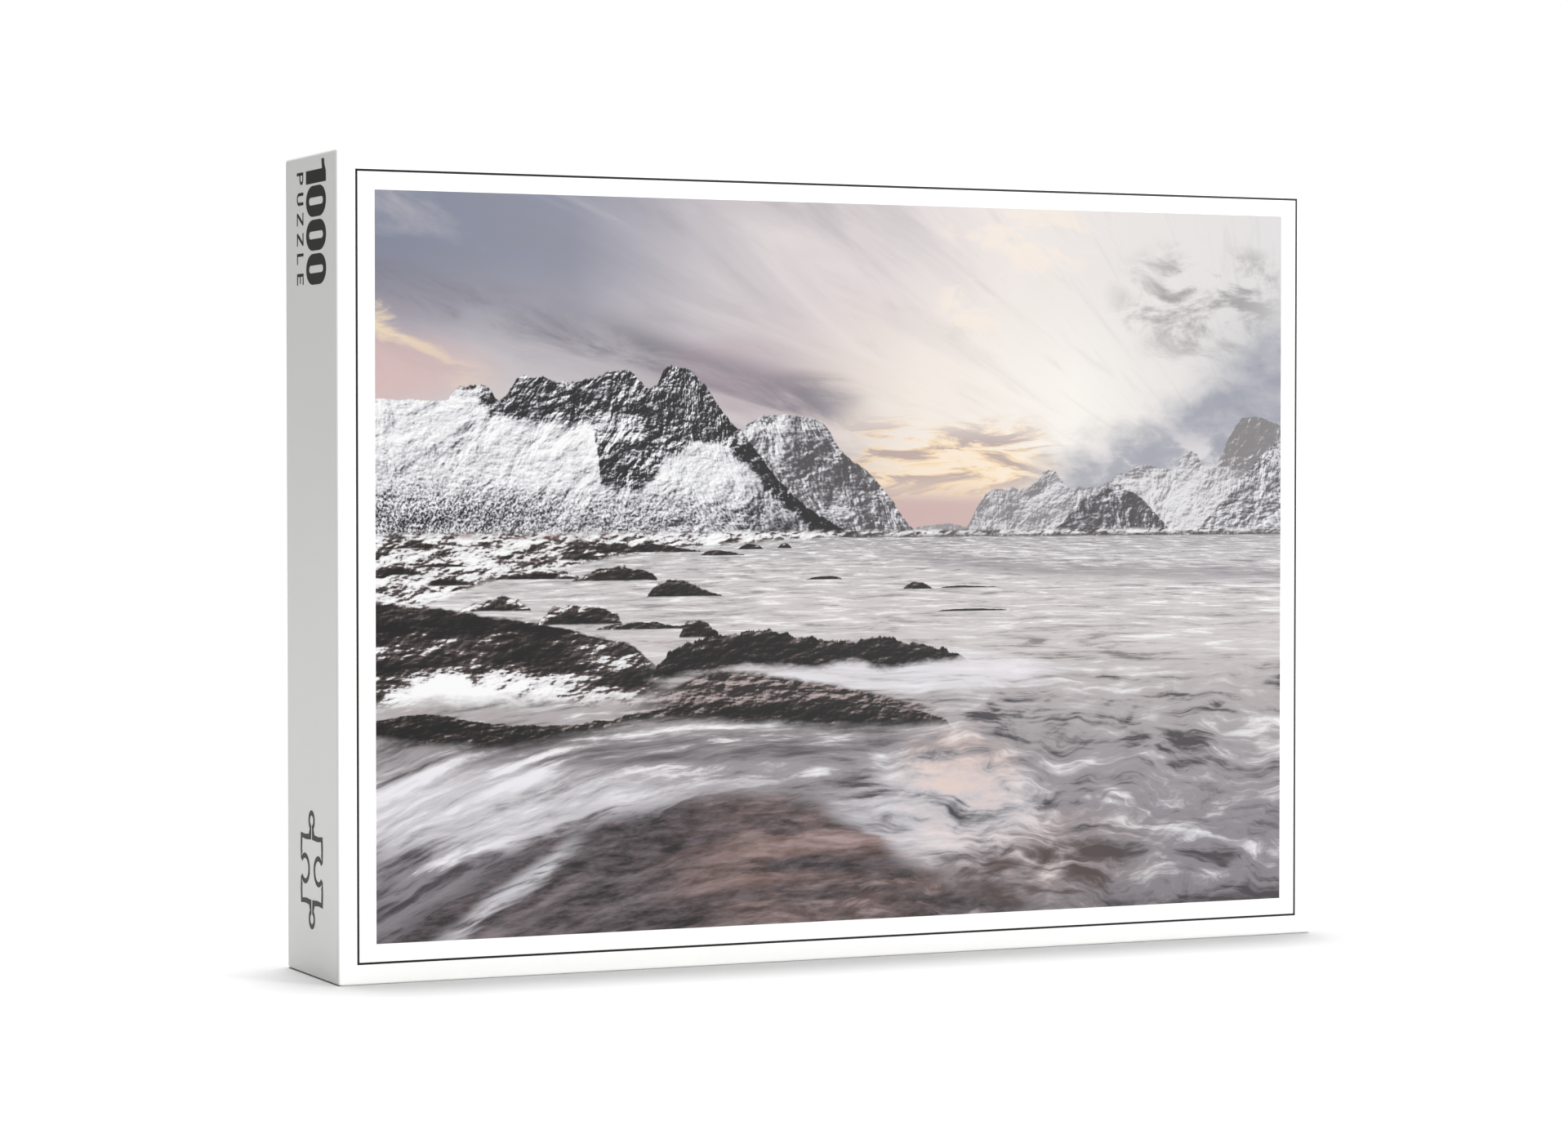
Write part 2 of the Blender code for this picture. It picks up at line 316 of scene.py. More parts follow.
class Picture:
    """What is painted so far on a plane where u runs from 0 to 1 across and v runs up."""

    def __init__(self, n, u, v):
        self.plane = n, u, v
        self.colour = None

    def near(self, centre, reach):
        """1 at centre, falling softly to 0 at reach = (across, up)."""
        n, u, v = self.plane
        a = (u - centre[0]) / reach[0]
        b = (v - centre[1]) / reach[1]
        return n.smooth(1.0, 0.0, a * a + b * b)

    def paint(self, share, colour):
        """Lays a colour over what is there, by its share."""
        self.colour = self.plane[0].mix(share, self.colour, colour)


def between(n, value, low, high, soft):
    return n.smooth(low - soft, low + soft, value) * n.smooth(high + soft, high - soft, value)


def sky(p):
    """Grey-blue cloud at the left, clearing to a warm glow low over the water."""
    n, u, v = p.plane
    upper = n.ramp(u, [
        (0, "7f8598"), (0.2, "8f92a2"), (0.33, "c2bcc1"), (0.5, "dad1d2"), (0.68, "ebe4e0"),
        (1, "dcdada"),
    ])
    lower = n.ramp(u, [
        (0, "cdbbbd"), (0.1, "cfc8ca"), (0.3, "b8b1b6"), (0.42, "c8bcbf"), (0.5, "e2d6cf"),
        (0.58, "f1e8df"), (0.75, "f6f1eb"), (0.88, "e2dfdd"), (1, "a6a9b3"),
    ])
    p.colour = n.mix(n.smooth(0.72, 0.93, v), lower, upper)
    # Streaks fan out from a point low at the right.
    across = (u - 1.0) * PICTURE_ASPECT
    up = v - 0.5
    turn = n.math("ARCTAN2", up, across)
    reach = n.math("SQRT", across * across + up * up)
    streaks = n.noise((turn * 9, reach * 1.9), 9, 0.58, 0.5, dimensions="2D")
    wisps = n.noise((turn * 22, reach * 6, 3.0), 8, 0.62, 0.8)
    left = n.smooth(0.8, 0.35, u)
    p.paint(n.smooth(0.55, 0.25, streaks) * left * 0.42, "8b8893")
    p.paint(n.smooth(0.5, 0.8, streaks) * left * 0.45, "efe6e4")
    p.paint(n.smooth(0.5, 0.25, wisps) * 0.14, "8f8688")
    # A dark bank slants down from the left edge.
    middle = n.curve(u, [(0, 0.885), (0.2, 0.825), (0.35, 0.765), (0.5, 0.715), (1, 0.6)])
    away = abs(v - middle + (wisps - 0.5) * 0.05)
    bank = n.smooth(0.046, 0.008, away) * n.smooth(0.54, 0.44, u)
    p.paint(bank * n.smooth(0.35, 0.6, streaks * 0.5 + wisps * 0.5) * 0.9, "77747f")
    # Light at the left edge and over the sun.
    p.paint(p.near((0.0, 0.765), (0.15, 0.06)) * 0.5, "d9b3ae")
    rim = n.smooth(0.024, 0.0, abs(v + u * 0.75 - 0.822 + (wisps - 0.5) * 0.16))
    p.paint(rim * n.smooth(0.15, 0.0, u) * 0.8, "f3dcbb")
    p.paint(p.near((0.6, 0.56), (0.16, 0.07)) * 0.9, "c7a9a5")
    p.paint(p.near((0.62, 0.63), (0.14, 0.05)) * 0.7, "f9e4c8")
    # Small low clouds with lit edges.
    low = n.noise((u * 9, v * 34, 1.0), 8, 0.62, 0.8)
    place = between(n, v, 0.6, 0.69, 0.03) * between(n, u, 0.5, 0.72, 0.04)
    p.paint(n.smooth(0.44, 0.5, low) * n.smooth(0.56, 0.5, low) * place * 0.6, "f9d6a2")
    p.paint(n.smooth(0.47, 0.57, low) * place * 0.8, "ab9593")
    mauve = p.near((0.37, 0.765), (0.1, 0.06)) * n.smooth(0.3, 0.6, wisps)
    p.paint(mauve * 0.45, "ab969f")
    smudge = p.near((0.45, 0.735), (0.075, 0.04)) * n.smooth(0.35, 0.6, low)
    p.paint(smudge * 0.6, "857c85")
    # Torn patches: cream ones high up, grey ones at the right.
    torn = n.noise((u * 13 + v * 4, v * 19, 7.0), 9, 0.64, 0.5)
    cream = p.near((0.69, 0.965), (0.11, 0.09)) + p.near((0.63, 0.855), (0.05, 0.06))
    p.paint(n.smooth(0.5, 0.62, torn + cream * 0.06) * cream * 0.8, "f5e8dc")
    grey = p.near((0.9, 0.87), (0.12, 0.11)) + p.near((0.96, 0.92), (0.06, 0.04)) * 0.4
    p.paint(n.smooth(0.44, 0.62, torn) * grey * 0.8, "858284")
    # A blue-grey bank behind the far range, with white puffs in front of it.
    crest = n.curve(u, [(0, 0.5), (0.62, 0.55), (0.72, 0.645), (0.85, 0.71), (1, 0.83)])
    puffs = n.noise((u * 16, v * 20, 4.0), 8, 0.58, 0.2)
    right = n.smooth(0.03, -0.05, v - crest + (puffs - 0.5) * 0.12) * n.smooth(0.66, 0.76, u)
    p.paint(right * 0.85, n.mix(n.smooth(0.35, 0.7, puffs), "8f93a1", "b9b7be"))
    white = between(n, v, 0.61, 0.67, 0.02) * n.smooth(0.76, 0.84, u)
    p.paint(n.smooth(0.47, 0.58, puffs) * white * 0.8, "dcd9db")


def gullies(n, x, y):
    """Height of a slope cut by gullies."""
    facets = n.cells((x * 26, y * 34), detail=3.0, rough=0.6)
    return n.noise((x * 21, y * 19), 8, 0.6, 0.4, dimensions="2D") + facets * 0.34


class Relief:
    """Light and dark of the gullies that run down a slope, shared by all the mountains."""

    def __init__(self, n, u, v):
        slant = n.curve(u, [
            (0, 0.5), (0.18, 0.7), (0.29, 0.6), (0.33, 0.4), (0.45, 0.15), (0.6, 0.2), (0.72, 0.75),
            (0.8, 0.3), (0.9, 0.7), (1, 0.3),
        ])
        x = u * PICTURE_ASPECT + (slant - 0.5) * (v - 0.6) * -1.3
        self.lit = (gullies(n, x, v) - gullies(n, x + 0.0016, v - 0.0016)) * 26
        self.spurs = n.noise((x * 24, v * 22, 3.0), 5, 0.65, 0.3)
        self.fine = n.noise((x * 120, v * 110, 2.0), 3, 0.7)
        self.scrub = n.noise((x * 300, v * 260, 5.0), 2, 0.6)
        self.broad = n.noise((x * 7, v * 11, 8.0), 4, 0.6)


def mountain(p, skyline, snow, relief, haze=0.0, jag=0.016, rough=0.8):
    """Adds a mountain under its skyline. snow says how much lies on it, about -1 to 1."""
    n, u, v = p.plane
    teeth = n.noise(u, 8, 0.68, scale=45, dimensions="1D") - 0.5
    top = n.curve(u, skyline) + teeth * jag
    mask = n.smooth(-0.0012, 0.0012, top - v)
    detail = relief.lit * 0.4 + (relief.fine - 0.5) * 1.6 + (relief.spurs - 0.5) * 1.5
    face = n.ramp((snow + detail * rough) * 0.5 + 0.5, [
        (0.08, "171517"), (0.3, "3a383b"), (0.45, "7d7b80"), (0.6, "b9b8bd"), (0.76, "dfdfe2"),
        (1, "fbfbfb"),
    ])
    p.paint(mask, n.mix(haze, face, "b9b4b7"))


def mountains(p):
    n, u, v = p.plane
    relief = Relief(n, u, v)
    far = [(0, 0.5), (0.55, 0.5), (0.57, 0.545), (0.6, 0.553), (0.63, 0.548), (0.66, 0.5), (1, 0.5)]
    mountain(p, far, -0.2, relief, haze=0.6, jag=0.008)
    right_far = [
        (0, 0.5), (0.6, 0.5), (0.63, 0.55), (0.66, 0.6), (0.7, 0.605), (0.725, 0.628), (0.75, 0.605),
        (0.77, 0.602), (0.8, 0.618), (0.84, 0.636), (0.86, 0.628), (0.895, 0.655), (0.912, 0.63),
        (0.935, 0.67), (0.965, 0.708), (1, 0.692),
    ]
    snow = 0.05 + p.near((0.88, 0.58), (0.1, 0.06)) * 0.6 - p.near((0.96, 0.68), (0.06, 0.07)) * 0.8
    mountain(p, right_far, snow, relief, haze=0.42, jag=0.02)
    hill = [
        (0, 0.5), (0.7, 0.5), (0.735, 0.55), (0.77, 0.59), (0.8, 0.607), (0.83, 0.59), (0.86, 0.55),
        (0.9, 0.5), (1, 0.5),
    ]
    mountain(p, hill, -0.35, relief, haze=0.1)
    right_near = [
        (0, 0.5), (0.86, 0.5), (0.9, 0.545), (0.93, 0.585), (0.96, 0.63), (0.985, 0.66), (1, 0.675),
    ]
    mountain(p, right_near, 0.05, relief, haze=0.15)
    second = [
        (0, 0.5), (0.36, 0.5), (0.385, 0.69), (0.42, 0.705), (0.45, 0.702), (0.465, 0.697), (0.49, 0.655),
        (0.52, 0.625), (0.54, 0.595), (0.56, 0.56), (0.576, 0.538), (0.62, 0.5), (1, 0.5),
    ]
    snow = 0.15 - p.near((0.465, 0.635), (0.06, 0.06)) * 0.45 - n.smooth(0.42, 0.54, u) * 0.4
    mountain(p, second, snow, relief, haze=0.12, jag=0.012)
    massif = [
        (0, 0.722), (0.07, 0.722), (0.083, 0.74), (0.112, 0.742), (0.125, 0.725), (0.15, 0.755),
        (0.2, 0.748), (0.255, 0.765), (0.285, 0.742), (0.298, 0.765), (0.318, 0.771), (0.335, 0.752),
        (0.36, 0.71), (0.385, 0.675), (0.43, 0.602), (0.47, 0.562), (0.51, 0.535), (0.55, 0.5), (1, 0.5),
    ]
    snow_line = n.curve(u, [
        (0, 0.7), (0.07, 0.715), (0.09, 0.735), (0.12, 0.705), (0.2, 0.697), (0.222, 0.69), (0.232, 0.61),
        (0.27, 0.603), (0.3, 0.64), (0.34, 0.66), (0.375, 0.65), (0.41, 0.6), (0.45, 0.56), (0.5, 0.535),
        (1, 0.5),
    ])
    edge = v - snow_line + (relief.broad - 0.5) * 0.07
    crag = n.smooth(-0.008, 0.01, edge) * n.smooth(0.07, 0.13, u)
    gap = p.near((0.245, 0.685), (0.045, 0.028))
    snow = 0.64 - crag * 1.08 + gap * 0.8 - n.smooth(0.34, 0.44, u) * 0.55 - n.smooth(0.6, 0.55, v) * 0.25
    scrub = between(n, v, 0.53, 0.6, 0.03) * n.smooth(0.5, 0.3, u) * 0.65
    scrub = scrub + p.near((0.02, 0.6), (0.2, 0.1)) * 0.3
    snow = snow - scrub * (n.smooth(0.4, 0.6, relief.scrub) * 0.9 + (relief.spurs - 0.4) * 0.8)
    mountain(p, massif, snow, relief, jag=0.018, rough=0.55 + crag * 0.6)
    # The far shore, a thin dark line.
    bank = between(n, v + (relief.fine - 0.5) * 0.006, 0.53, 0.5425, 0.002) * n.smooth(0.3, 0.45, u)
    p.paint(bank * n.smooth(0.3, 0.5, relief.scrub) * 0.85, "4b4648")


class Water:
    """Long-exposure water: its patterns, shared by the sea and what lies in it."""

    def __init__(self, n, u, v):
        far = 0.57 - v
        depth = n.math("LOGARITHM", far, math.e)
        self.ripples = n.noise(((u - 0.5) / far * 2.2, depth * 22, 1.0), 9, 0.7, 0.5)
        flow = n.curve(u, [
            (0, 0.0), (0.1, 0.05), (0.2, 0.085), (0.3, 0.11), (0.45, 0.13), (0.6, 0.13), (0.8, 0.11),
            (1, 0.08),
        ])
        self.swirl = n.smooth(0.45, 0.68, u) * n.smooth(0.44, 0.28, v)
        drift = n.noise((u * 9, v * 10, 2.0), 3, 0.5) - 0.5
        turn = n.noise((u * 9, v * 10, 6.0), 3, 0.5) - 0.5
        along = u + drift * (self.swirl * 0.19 + 0.03)
        across = v - flow * n.smooth(0.42, 0.22, v) * 1.2 + turn * (self.swirl * 0.1 + 0.03)
        self.zones = n.noise((along * 3.0, across * 9, 5.0), 5, 0.55, 0.4)
        self.silk = n.noise((along * 7, across * 30, 8.0), 8, 0.63, 0.4)
        self.threads = n.noise((along * 16, across * 80, 3.0), 6, 0.62, 0.3)
        self.mist = n.noise((u * 13, v * 22, 9.0), 6, 0.55, 0.8)
        near_by = n.smooth(0.44, 0.3, v)
        close = (self.silk - 0.5) * 3.4 + (self.threads - 0.5) * 1.2 + (self.zones - 0.5) * 1.8
        close = close + (self.mist - 0.5) * self.swirl * 2.4
        self.tone = close * near_by + (self.ripples - 0.5) * (4.6 - near_by * 4.0)


def sea(p, water):
    """Fine ripples far away, a grey swell, silky streaks near by, and light from the sky."""
    n, u, v = p.plane
    tone = water.tone
    surface = Picture(n, u, v)
    surface.colour = n.ramp(v / 0.54, [
        (0, "868186"), (0.22, "8e898e"), (0.4, "9a9598"), (0.6, "b6afb0"), (0.7, "ccc5c5"),
        (0.88, "cbc6c7"), (0.95, "bebbbc"), (1, "a6a3a4"),
    ])
    surface.paint(n.smooth(0.02, water.swirl * 0.5 + 0.6, tone) * 0.95, "f6f4f6")
    surface.paint(n.smooth(-0.03, -0.7, tone) * (0.5 + n.smooth(0.45, 0.3, v) * 0.45), "3f3b40")
    swell_line = n.curve(u, [(0, 0.5), (0.5, 0.525), (0.6, 0.503), (0.75, 0.487), (1, 0.478)])
    away = abs(v - swell_line + (water.ripples - 0.5) * 0.03)
    swell = n.smooth(0.018, 0.002, away)
    surface.paint(swell * n.smooth(0.5, 0.62, u) * 0.6, "8a878c")
    surf = p.near((0.56, 0.345), (0.24, 0.04)) + p.near((0.08, 0.17), (0.42, 0.09)) * 0.75
    surf = surf + p.near((0.6, 0.15), (0.17, 0.11)) * 0.75
    surface.paint(n.smooth(0.15, 1.0, surf + tone * 0.6) * 0.75, "e9e7ec")
    lee = p.near((0.32, 0.25), (0.34, 0.035))
    surface.paint(lee * n.smooth(0.6, -0.5, tone) * 0.8, "5f595e")
    warm = p.near((0.62, 0.19), (0.09, 0.09)) + p.near((0.68, 0.08), (0.2, 0.1)) * 0.45
    warm = warm + p.near((0.58, 0.46), (0.35, 0.07)) * 0.2
    surface.paint(warm * n.smooth(-0.3, 0.5, tone) * 0.5, "e2b9a4")
    brown = p.near((0.7, 0.06), (0.16, 0.08))
    surface.paint(brown * n.smooth(0.15, -0.4, tone) * 0.6, "5b463e")
    p.paint(n.smooth(-0.0012, 0.0012, 0.535 - v), surface.colour)


def broken_faces(n, u, v):
    """Height of rock with broken faces."""
    facets = n.cells((u * 34 - v * 16, v * 52, 1.0), detail=2.5, rough=0.6)
    return facets * 0.6 + n.noise((u * 40, v * 62, 7.0), 7, 0.6, 0.3)


class Grain:
    """Coarse and fine mottling of the rocks, and the light on their faces."""

    def __init__(self, n, u, v):
        self.coarse = n.noise((u * 24, v * 36, 9.0), 8, 0.66, 0.15)
        self.fine = n.noise((u * 110, v * 150, 4.0), 4, 0.7)
        self.teeth = n.noise(u, 6, 0.65, scale=60, dimensions="1D")
        self.lit = (broken_faces(n, u, v) - broken_faces(n, u + 0.0016, v - 0.002)) * 14


def stone(n, tone):
    """Black rock to snow."""
    return n.ramp(tone * 0.5 + 0.5, [
        (0.05, "110d0e"), (0.32, "2b2424"), (0.5, "544a48"), (0.6, "7f7573"), (0.68, "d9d7da"),
        (1, "fafafa"),
    ])


def reef(p, top, foot, jag, tone, grain, soft=0.004):
    """Adds a dark reef between two curves, with a ragged top and a washed foot."""
    n, _, v = p.plane
    upper = top + (grain.teeth - 0.5) * jag + (grain.coarse - 0.5) * 0.014 - v
    lower = v - foot + (grain.coarse - 0.5) * 0.026
    mask = n.smooth(-0.001, 0.0015, upper) * n.smooth(-soft, soft * 2, lower)
    wet = n.smooth(0.014, 0.002, upper) * 0.35
    light = n.math("MINIMUM", tone + grain.lit * 0.28 + (grain.fine - 0.5) * 0.7 + wet, 0.22)
    p.paint(mask, stone(n, light))


# Rocks in the shallows: place, half width, height, and how far the top leans to the left.
BOULDERS = [
    ((0.207, 0.508), 0.021, 0.03, 0.1), ((0.245, 0.517), 0.034, 0.014, 0.2),
    ((0.295, 0.517), 0.045, 0.011, 0.5), ((0.36, 0.512), 0.024, 0.007, 0.5),
    ((0.39, 0.52), 0.014, 0.007, 0.0), ((0.427, 0.521), 0.008, 0.007, 0.0),
    ((0.165, 0.482), 0.05, 0.013, 0.3), ((0.245, 0.479), 0.045, 0.019, -0.3),
    ((0.32, 0.456), 0.042, 0.02, 0.6), ((0.47, 0.477), 0.02, 0.006, -0.4),
    ((0.575, 0.462), 0.018, 0.011, 0.3), ((0.635, 0.463), 0.035, 0.003, 0.5),
    ((0.12, 0.44), 0.038, 0.018, -0.4), ((0.21, 0.42), 0.045, 0.028, 0.1),
    ((0.64, 0.43), 0.045, 0.003, 0.4), ((0.28, 0.412), 0.055, 0.01, 0.4),
    ((0.335, 0.4), 0.022, 0.026, 0.3), ((0.04, 0.525), 0.024, 0.016, 0.2),
    ((0.025, 0.49), 0.03, 0.016, 0.1), ((0.08, 0.475), 0.03, 0.014, 0.3), ((0.07, 0.5), 0.03, 0.009, 0.3),
]


def boulder(n, u, v, wobble, x, z, half, height, lean):
    """Where one boulder is, and where its top is."""
    a = (u - x) / half
    b = (v - z) / height
    dome = n.math("POWER", n.math("MAXIMUM", 1.0 - a * a, 0.0), 0.7)
    dome = dome * n.math("MAXIMUM", 1.0 - a * lean, 0.5)
    inside = dome - b + wobble
    one = n.smooth(0.0, 0.14, inside) * n.smooth(-0.08, 0.06, b + wobble * 0.12) * n.smooth(0.0, 0.12, dome)
    return one, n.smooth(0.75, 0.2, inside) * one


def boulders(p, grain):
    """Low rocks, flat where the water cuts them, with snow on the ones ashore."""
    n, u, v = p.plane
    wobble = (grain.coarse - 0.5) * 1.5 + (grain.teeth - 0.5) * 0.5
    group = new_group("boulder", boulder, 8)
    mask = 0.0
    crown = 0.0
    for (x, z), half, height, lean in BOULDERS:
        one, top = use_group(n, group, u, v, wobble, x, z, half, height, lean)
        mask = n.math("MAXIMUM", mask, one)
        crown = n.math("MAXIMUM", crown, top)
    snowy = crown * n.smooth(0.3, 0.1, u) * 0.9
    light = grain.lit * 0.25 + (grain.fine - 0.5) * 0.5 - 0.65 + crown * 0.2 + snowy
    p.paint(mask, stone(n, light))


def shore(p, grain):
    """The snowy beach at the left, with stones and rusty grass showing through."""
    n, u, v = p.plane
    edge = n.curve(u, [
        (0, 0.44), (0.06, 0.455), (0.12, 0.48), (0.2, 0.5), (0.3, 0.519), (0.42, 0.532), (0.5, 0.538),
        (1, 0.54),
    ])
    mask = n.smooth(-0.004, 0.004, v - edge + (grain.coarse - 0.5) * 0.02) * n.smooth(0.548, 0.54, v)
    light = 0.42 + grain.lit * 0.25 + (grain.coarse - 0.5) * 3.4 + (grain.fine - 0.5) * 2.2
    rust = p.near((0.16, 0.545), (0.14, 0.012)) * n.smooth(0.48, 0.6, grain.coarse)
    p.paint(mask, n.mix(rust * 0.85, stone(n, light), "6d3f2b"))


def rock_field(p, grain):
    """Rounded grey rocks at the left, with snow lying in their hollows."""
    n, u, v = p.plane
    top = n.curve(u, [
        (0, 0.452), (0.05, 0.448), (0.1, 0.438), (0.16, 0.425), (0.22, 0.405), (0.26, 0.392),
        (0.29, 0.36), (0.33, 0.3), (1, 0.3),
    ])
    lie = n.noise((u * 13 - v * 9, v * 32, 6.0), 6, 0.6, 0.5)
    upper = top - v + (grain.coarse - 0.5) * 0.024
    mask = n.smooth(-0.001, 0.003, upper) * n.smooth(0.305, 0.33, v + (grain.coarse - 0.5) * 0.05)
    mask = mask * n.smooth(0.33, 0.27, u + (grain.coarse - 0.5) * 0.14)
    # Snow lies deepest along the foot, round one block at the left edge.
    foot = n.smooth(0.37, 0.335, v + (grain.coarse - 0.5) * 0.09)
    block = p.near((0.0, 0.32), (0.1, 0.035)) * 1.6
    deep = (lie - 0.53) * 5.0 + foot * n.smooth(0.32, 0.1, u) * 1.5
    deep = deep - block + p.near((0.055, 0.325), (0.06, 0.035)) * 1.6
    light = deep + grain.lit * 0.22 + (grain.fine - 0.5) * 0.6 - 0.3
    p.paint(mask, stone(n, light))


def reefs(p, grain, water):
    """Two black reefs that run out from the shore, the nearer one with a wet flat top."""
    n, u, v = p.plane
    shelf = n.curve(u, [
        (0, 0.25), (0.24, 0.3), (0.3, 0.33), (0.36, 0.355), (0.42, 0.345), (0.5, 0.325), (0.6, 0.292),
        (0.64, 0.27), (1, 0.25),
    ])
    wet = n.smooth(-0.002, 0.006, shelf - v + (grain.coarse - 0.5) * 0.018)
    wet = wet * n.smooth(0.28, 0.3, v) * n.smooth(0.22, 0.33, u)
    gleam = n.smooth(-0.25, 0.75, (water.threads - 0.5) * 2.4 + (grain.fine - 0.5) * 1.2 + grain.lit * 0.2)
    p.paint(wet, n.mix(gleam, "2a2323", "b5a5a2"))
    top = n.curve(u, [
        (0, 0.3), (0.27, 0.3), (0.29, 0.362), (0.31, 0.385), (0.35, 0.4), (0.4, 0.408), (0.45, 0.397),
        (0.5, 0.39), (0.53, 0.397), (0.57, 0.385), (0.6, 0.378), (0.63, 0.362), (0.65, 0.3), (1, 0.3),
    ])
    foot = n.curve(u, [
        (0, 0.35), (0.29, 0.343), (0.34, 0.35), (0.4, 0.358), (0.46, 0.352), (0.5, 0.36), (0.535, 0.35),
        (0.58, 0.357), (0.63, 0.36), (1, 0.36),
    ])
    reef(p, top, foot, 0.02, -0.8, grain)
    top = n.curve(u, [
        (0, 0.296), (0.05, 0.304), (0.1, 0.292), (0.2, 0.285), (0.27, 0.297), (0.32, 0.308), (0.4, 0.31),
        (0.5, 0.305), (0.56, 0.293), (0.61, 0.272), (0.63, 0.2), (1, 0.2),
    ])
    foot = n.curve(u, [
        (0, 0.268), (0.1, 0.252), (0.2, 0.262), (0.3, 0.283), (0.4, 0.274), (0.5, 0.266), (0.6, 0.268),
        (1, 0.3),
    ])
    reef(p, top, foot, 0.007, -0.75, grain, soft=0.007)


def seabed(p, water):
    """A brown slab under thin water at the lower left, with a white streak of foam across it."""
    n, u, v = p.plane
    edge = n.curve(u, [
        (0, 0.0), (0.1, 0.08), (0.2, 0.15), (0.3, 0.175), (0.42, 0.185), (0.5, 0.14), (0.58, 0.07),
        (0.66, 0.02), (0.74, 0.0), (1, 0.0),
    ])
    mask = n.smooth(-0.012, 0.02, edge - v + (water.silk - 0.5) * 0.12 + (water.threads - 0.5) * 0.08)
    pebbles = n.noise((u * 30 - v * 22, v * 70, 2.0), 7, 0.7, 0.2)
    slab = Picture(n, u, v)
    slab.colour = n.mix(n.smooth(0.32, 0.78, pebbles), "231e21", "756a6e")
    veil = n.smooth(-0.1, 0.9, water.tone) * (0.3 + n.smooth(0.3, 0.55, u) * 0.65)
    slab.paint(veil, "cdbfc4")
    copper = p.near((0.47, 0.08), (0.22, 0.13)) * n.smooth(0.35, 0.7, water.silk)
    slab.paint(copper * 0.45, "a57f70")
    p.paint(mask, slab.colour)
    path = n.curve(u, [(0, 0.0), (0.06, 0.0), (0.12, 0.05), (0.17, 0.09), (0.22, 0.135), (1, 0.2)])
    streak = abs(v - path + (water.threads - 0.5) * 0.03)
    foam = n.smooth(0.026, 0.002, streak) * between(n, u, 0.07, 0.2, 0.03)
    p.paint(foam * n.smooth(0.3, 0.6, water.threads) * 0.85, "dcdadf")


def picture(n, u, v):
    """A made-up winter coast: cloud, snowy mountains, silky water and dark reefs."""
    p = Picture(n, u, v)
    water = Water(n, u, v)
    grain = Grain(n, u, v)
    sky(p)
    mountains(p)
    sea(p, water)
    shore(p, grain)
    rock_field(p, grain)
    boulders(p, grain)
    reefs(p, grain, water)
    seabed(p, water)
    return [p.colour]


def printed_picture(n, u, v):
    """The picture as one node group, which the lid and the poster share."""
    group = bpy.data.node_groups.get("coast") or new_group("coast", picture, 2)
    colour = use_group(n, group, u, v)[0]
    return n.mix(1.0, colour, (PRINT_DENSITY,) * 3 + (1.0,), "MULTIPLY")


# ---------------------------------------------------------------- materials


def coated_paper(n, vector, colour, roughness=0.36, specular=0.45):
    """Coated paper in a colour: faint mottling in its gloss and a very fine tooth."""
    mottle = n.noise(vector, 3, 0.6, scale=900)
    tooth = n.noise(vector, 2, 0.5, scale=5200)
    n.surface(colour, roughness - 0.05 + mottle * 0.1, specular)
    n.bump(tooth * 0.35 + mottle * 0.65, 0.02 * MM, 0.35)
    return n.material


def plain_paper(name, colour):
    """The plain part of a wrap."""
    n = Nodes(name)
    vector = n.position()
    cloudy = n.noise(vector, 4, 0.55, scale=22)
    return coated_paper(n, vector, n.mix(cloudy * 0.16, colour, "dedcd8"))


def picture_material(name, low, high):
    """The picture, spread over the box from low to high in x and z."""
    n = Nodes(name)
    vector = n.position()
    x, _, z = n.parts(vector)
    u = (x - low.x) / (high.x - low.x)
    v = (z - low.z) / (high.z - low.z)
    return coated_paper(n, vector, printed_picture(n, u, v), *PRINT_GLOSS)


def ink(name, colour):
    n = Nodes(name)
    vector = n.position()
    blots = n.noise(vector, 3, 0.6, scale=2600)
    return coated_paper(n, vector, n.mix(blots * 0.2, colour, "3c3c39"), *PRINT_GLOSS)


# ---------------------------------------------------------------- mesh helpers


def add_object(name, data):
    obj = bpy.data.objects.new(name, data)
    bpy.context.scene.collection.objects.link(obj)
    return obj


def new_mesh(name, bm):
    mesh = bpy.data.meshes.new(name)
    bm.to_mesh(mesh)
    bm.free()
    return mesh


def final_mesh(obj):
    """The mesh that a curve or an object with modifiers comes to."""
    bpy.context.view_layer.update()
    return bpy.data.meshes.new_from_object(obj.evaluated_get(bpy.context.evaluated_depsgraph_get()))


def finish_mesh(name, bm, materials, body, smooth_deg=40):
    bmesh.ops.recalc_face_normals(bm, faces=bm.faces)
    mesh = new_mesh(name, bm)
    for made in materials:
        mesh.materials.append(made)
    mesh.shade_smooth()
    mesh.set_sharp_from_angle(angle=math.radians(smooth_deg))
    obj = add_object(name, mesh)
    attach(obj, body)
    return obj


def weighted_normals(obj):
    modifier = obj.modifiers.new("even_shading", "WEIGHTED_NORMAL")
    modifier.keep_sharp = True
    modifier.weight = 100


def loft(sections):
    """A closed skin through sections, which are lists of as many points each."""
    bm = bmesh.new()
    rings = [[bm.verts.new(point) for point in section] for section in sections]
    for first, second in zip(rings, rings[1:]):
        for i in range(len(first)):
            j = (i + 1) % len(first)
            bm.faces.new((first[i], first[j], second[j], second[i]))
    bm.faces.new(rings[0])
    bm.faces.new(list(reversed(rings[-1])))
    return bm


def arc(centre, radii, start_deg, steps=ARC_STEPS):
    """Points on a quarter ellipse round centre, turning anticlockwise from start_deg."""
    turns = [math.radians(start_deg + 90 * s / steps) for s in range(steps + 1)]
    return [(centre[0] + radii[0] * math.cos(t), centre[1] + radii[1] * math.sin(t)) for t in turns]


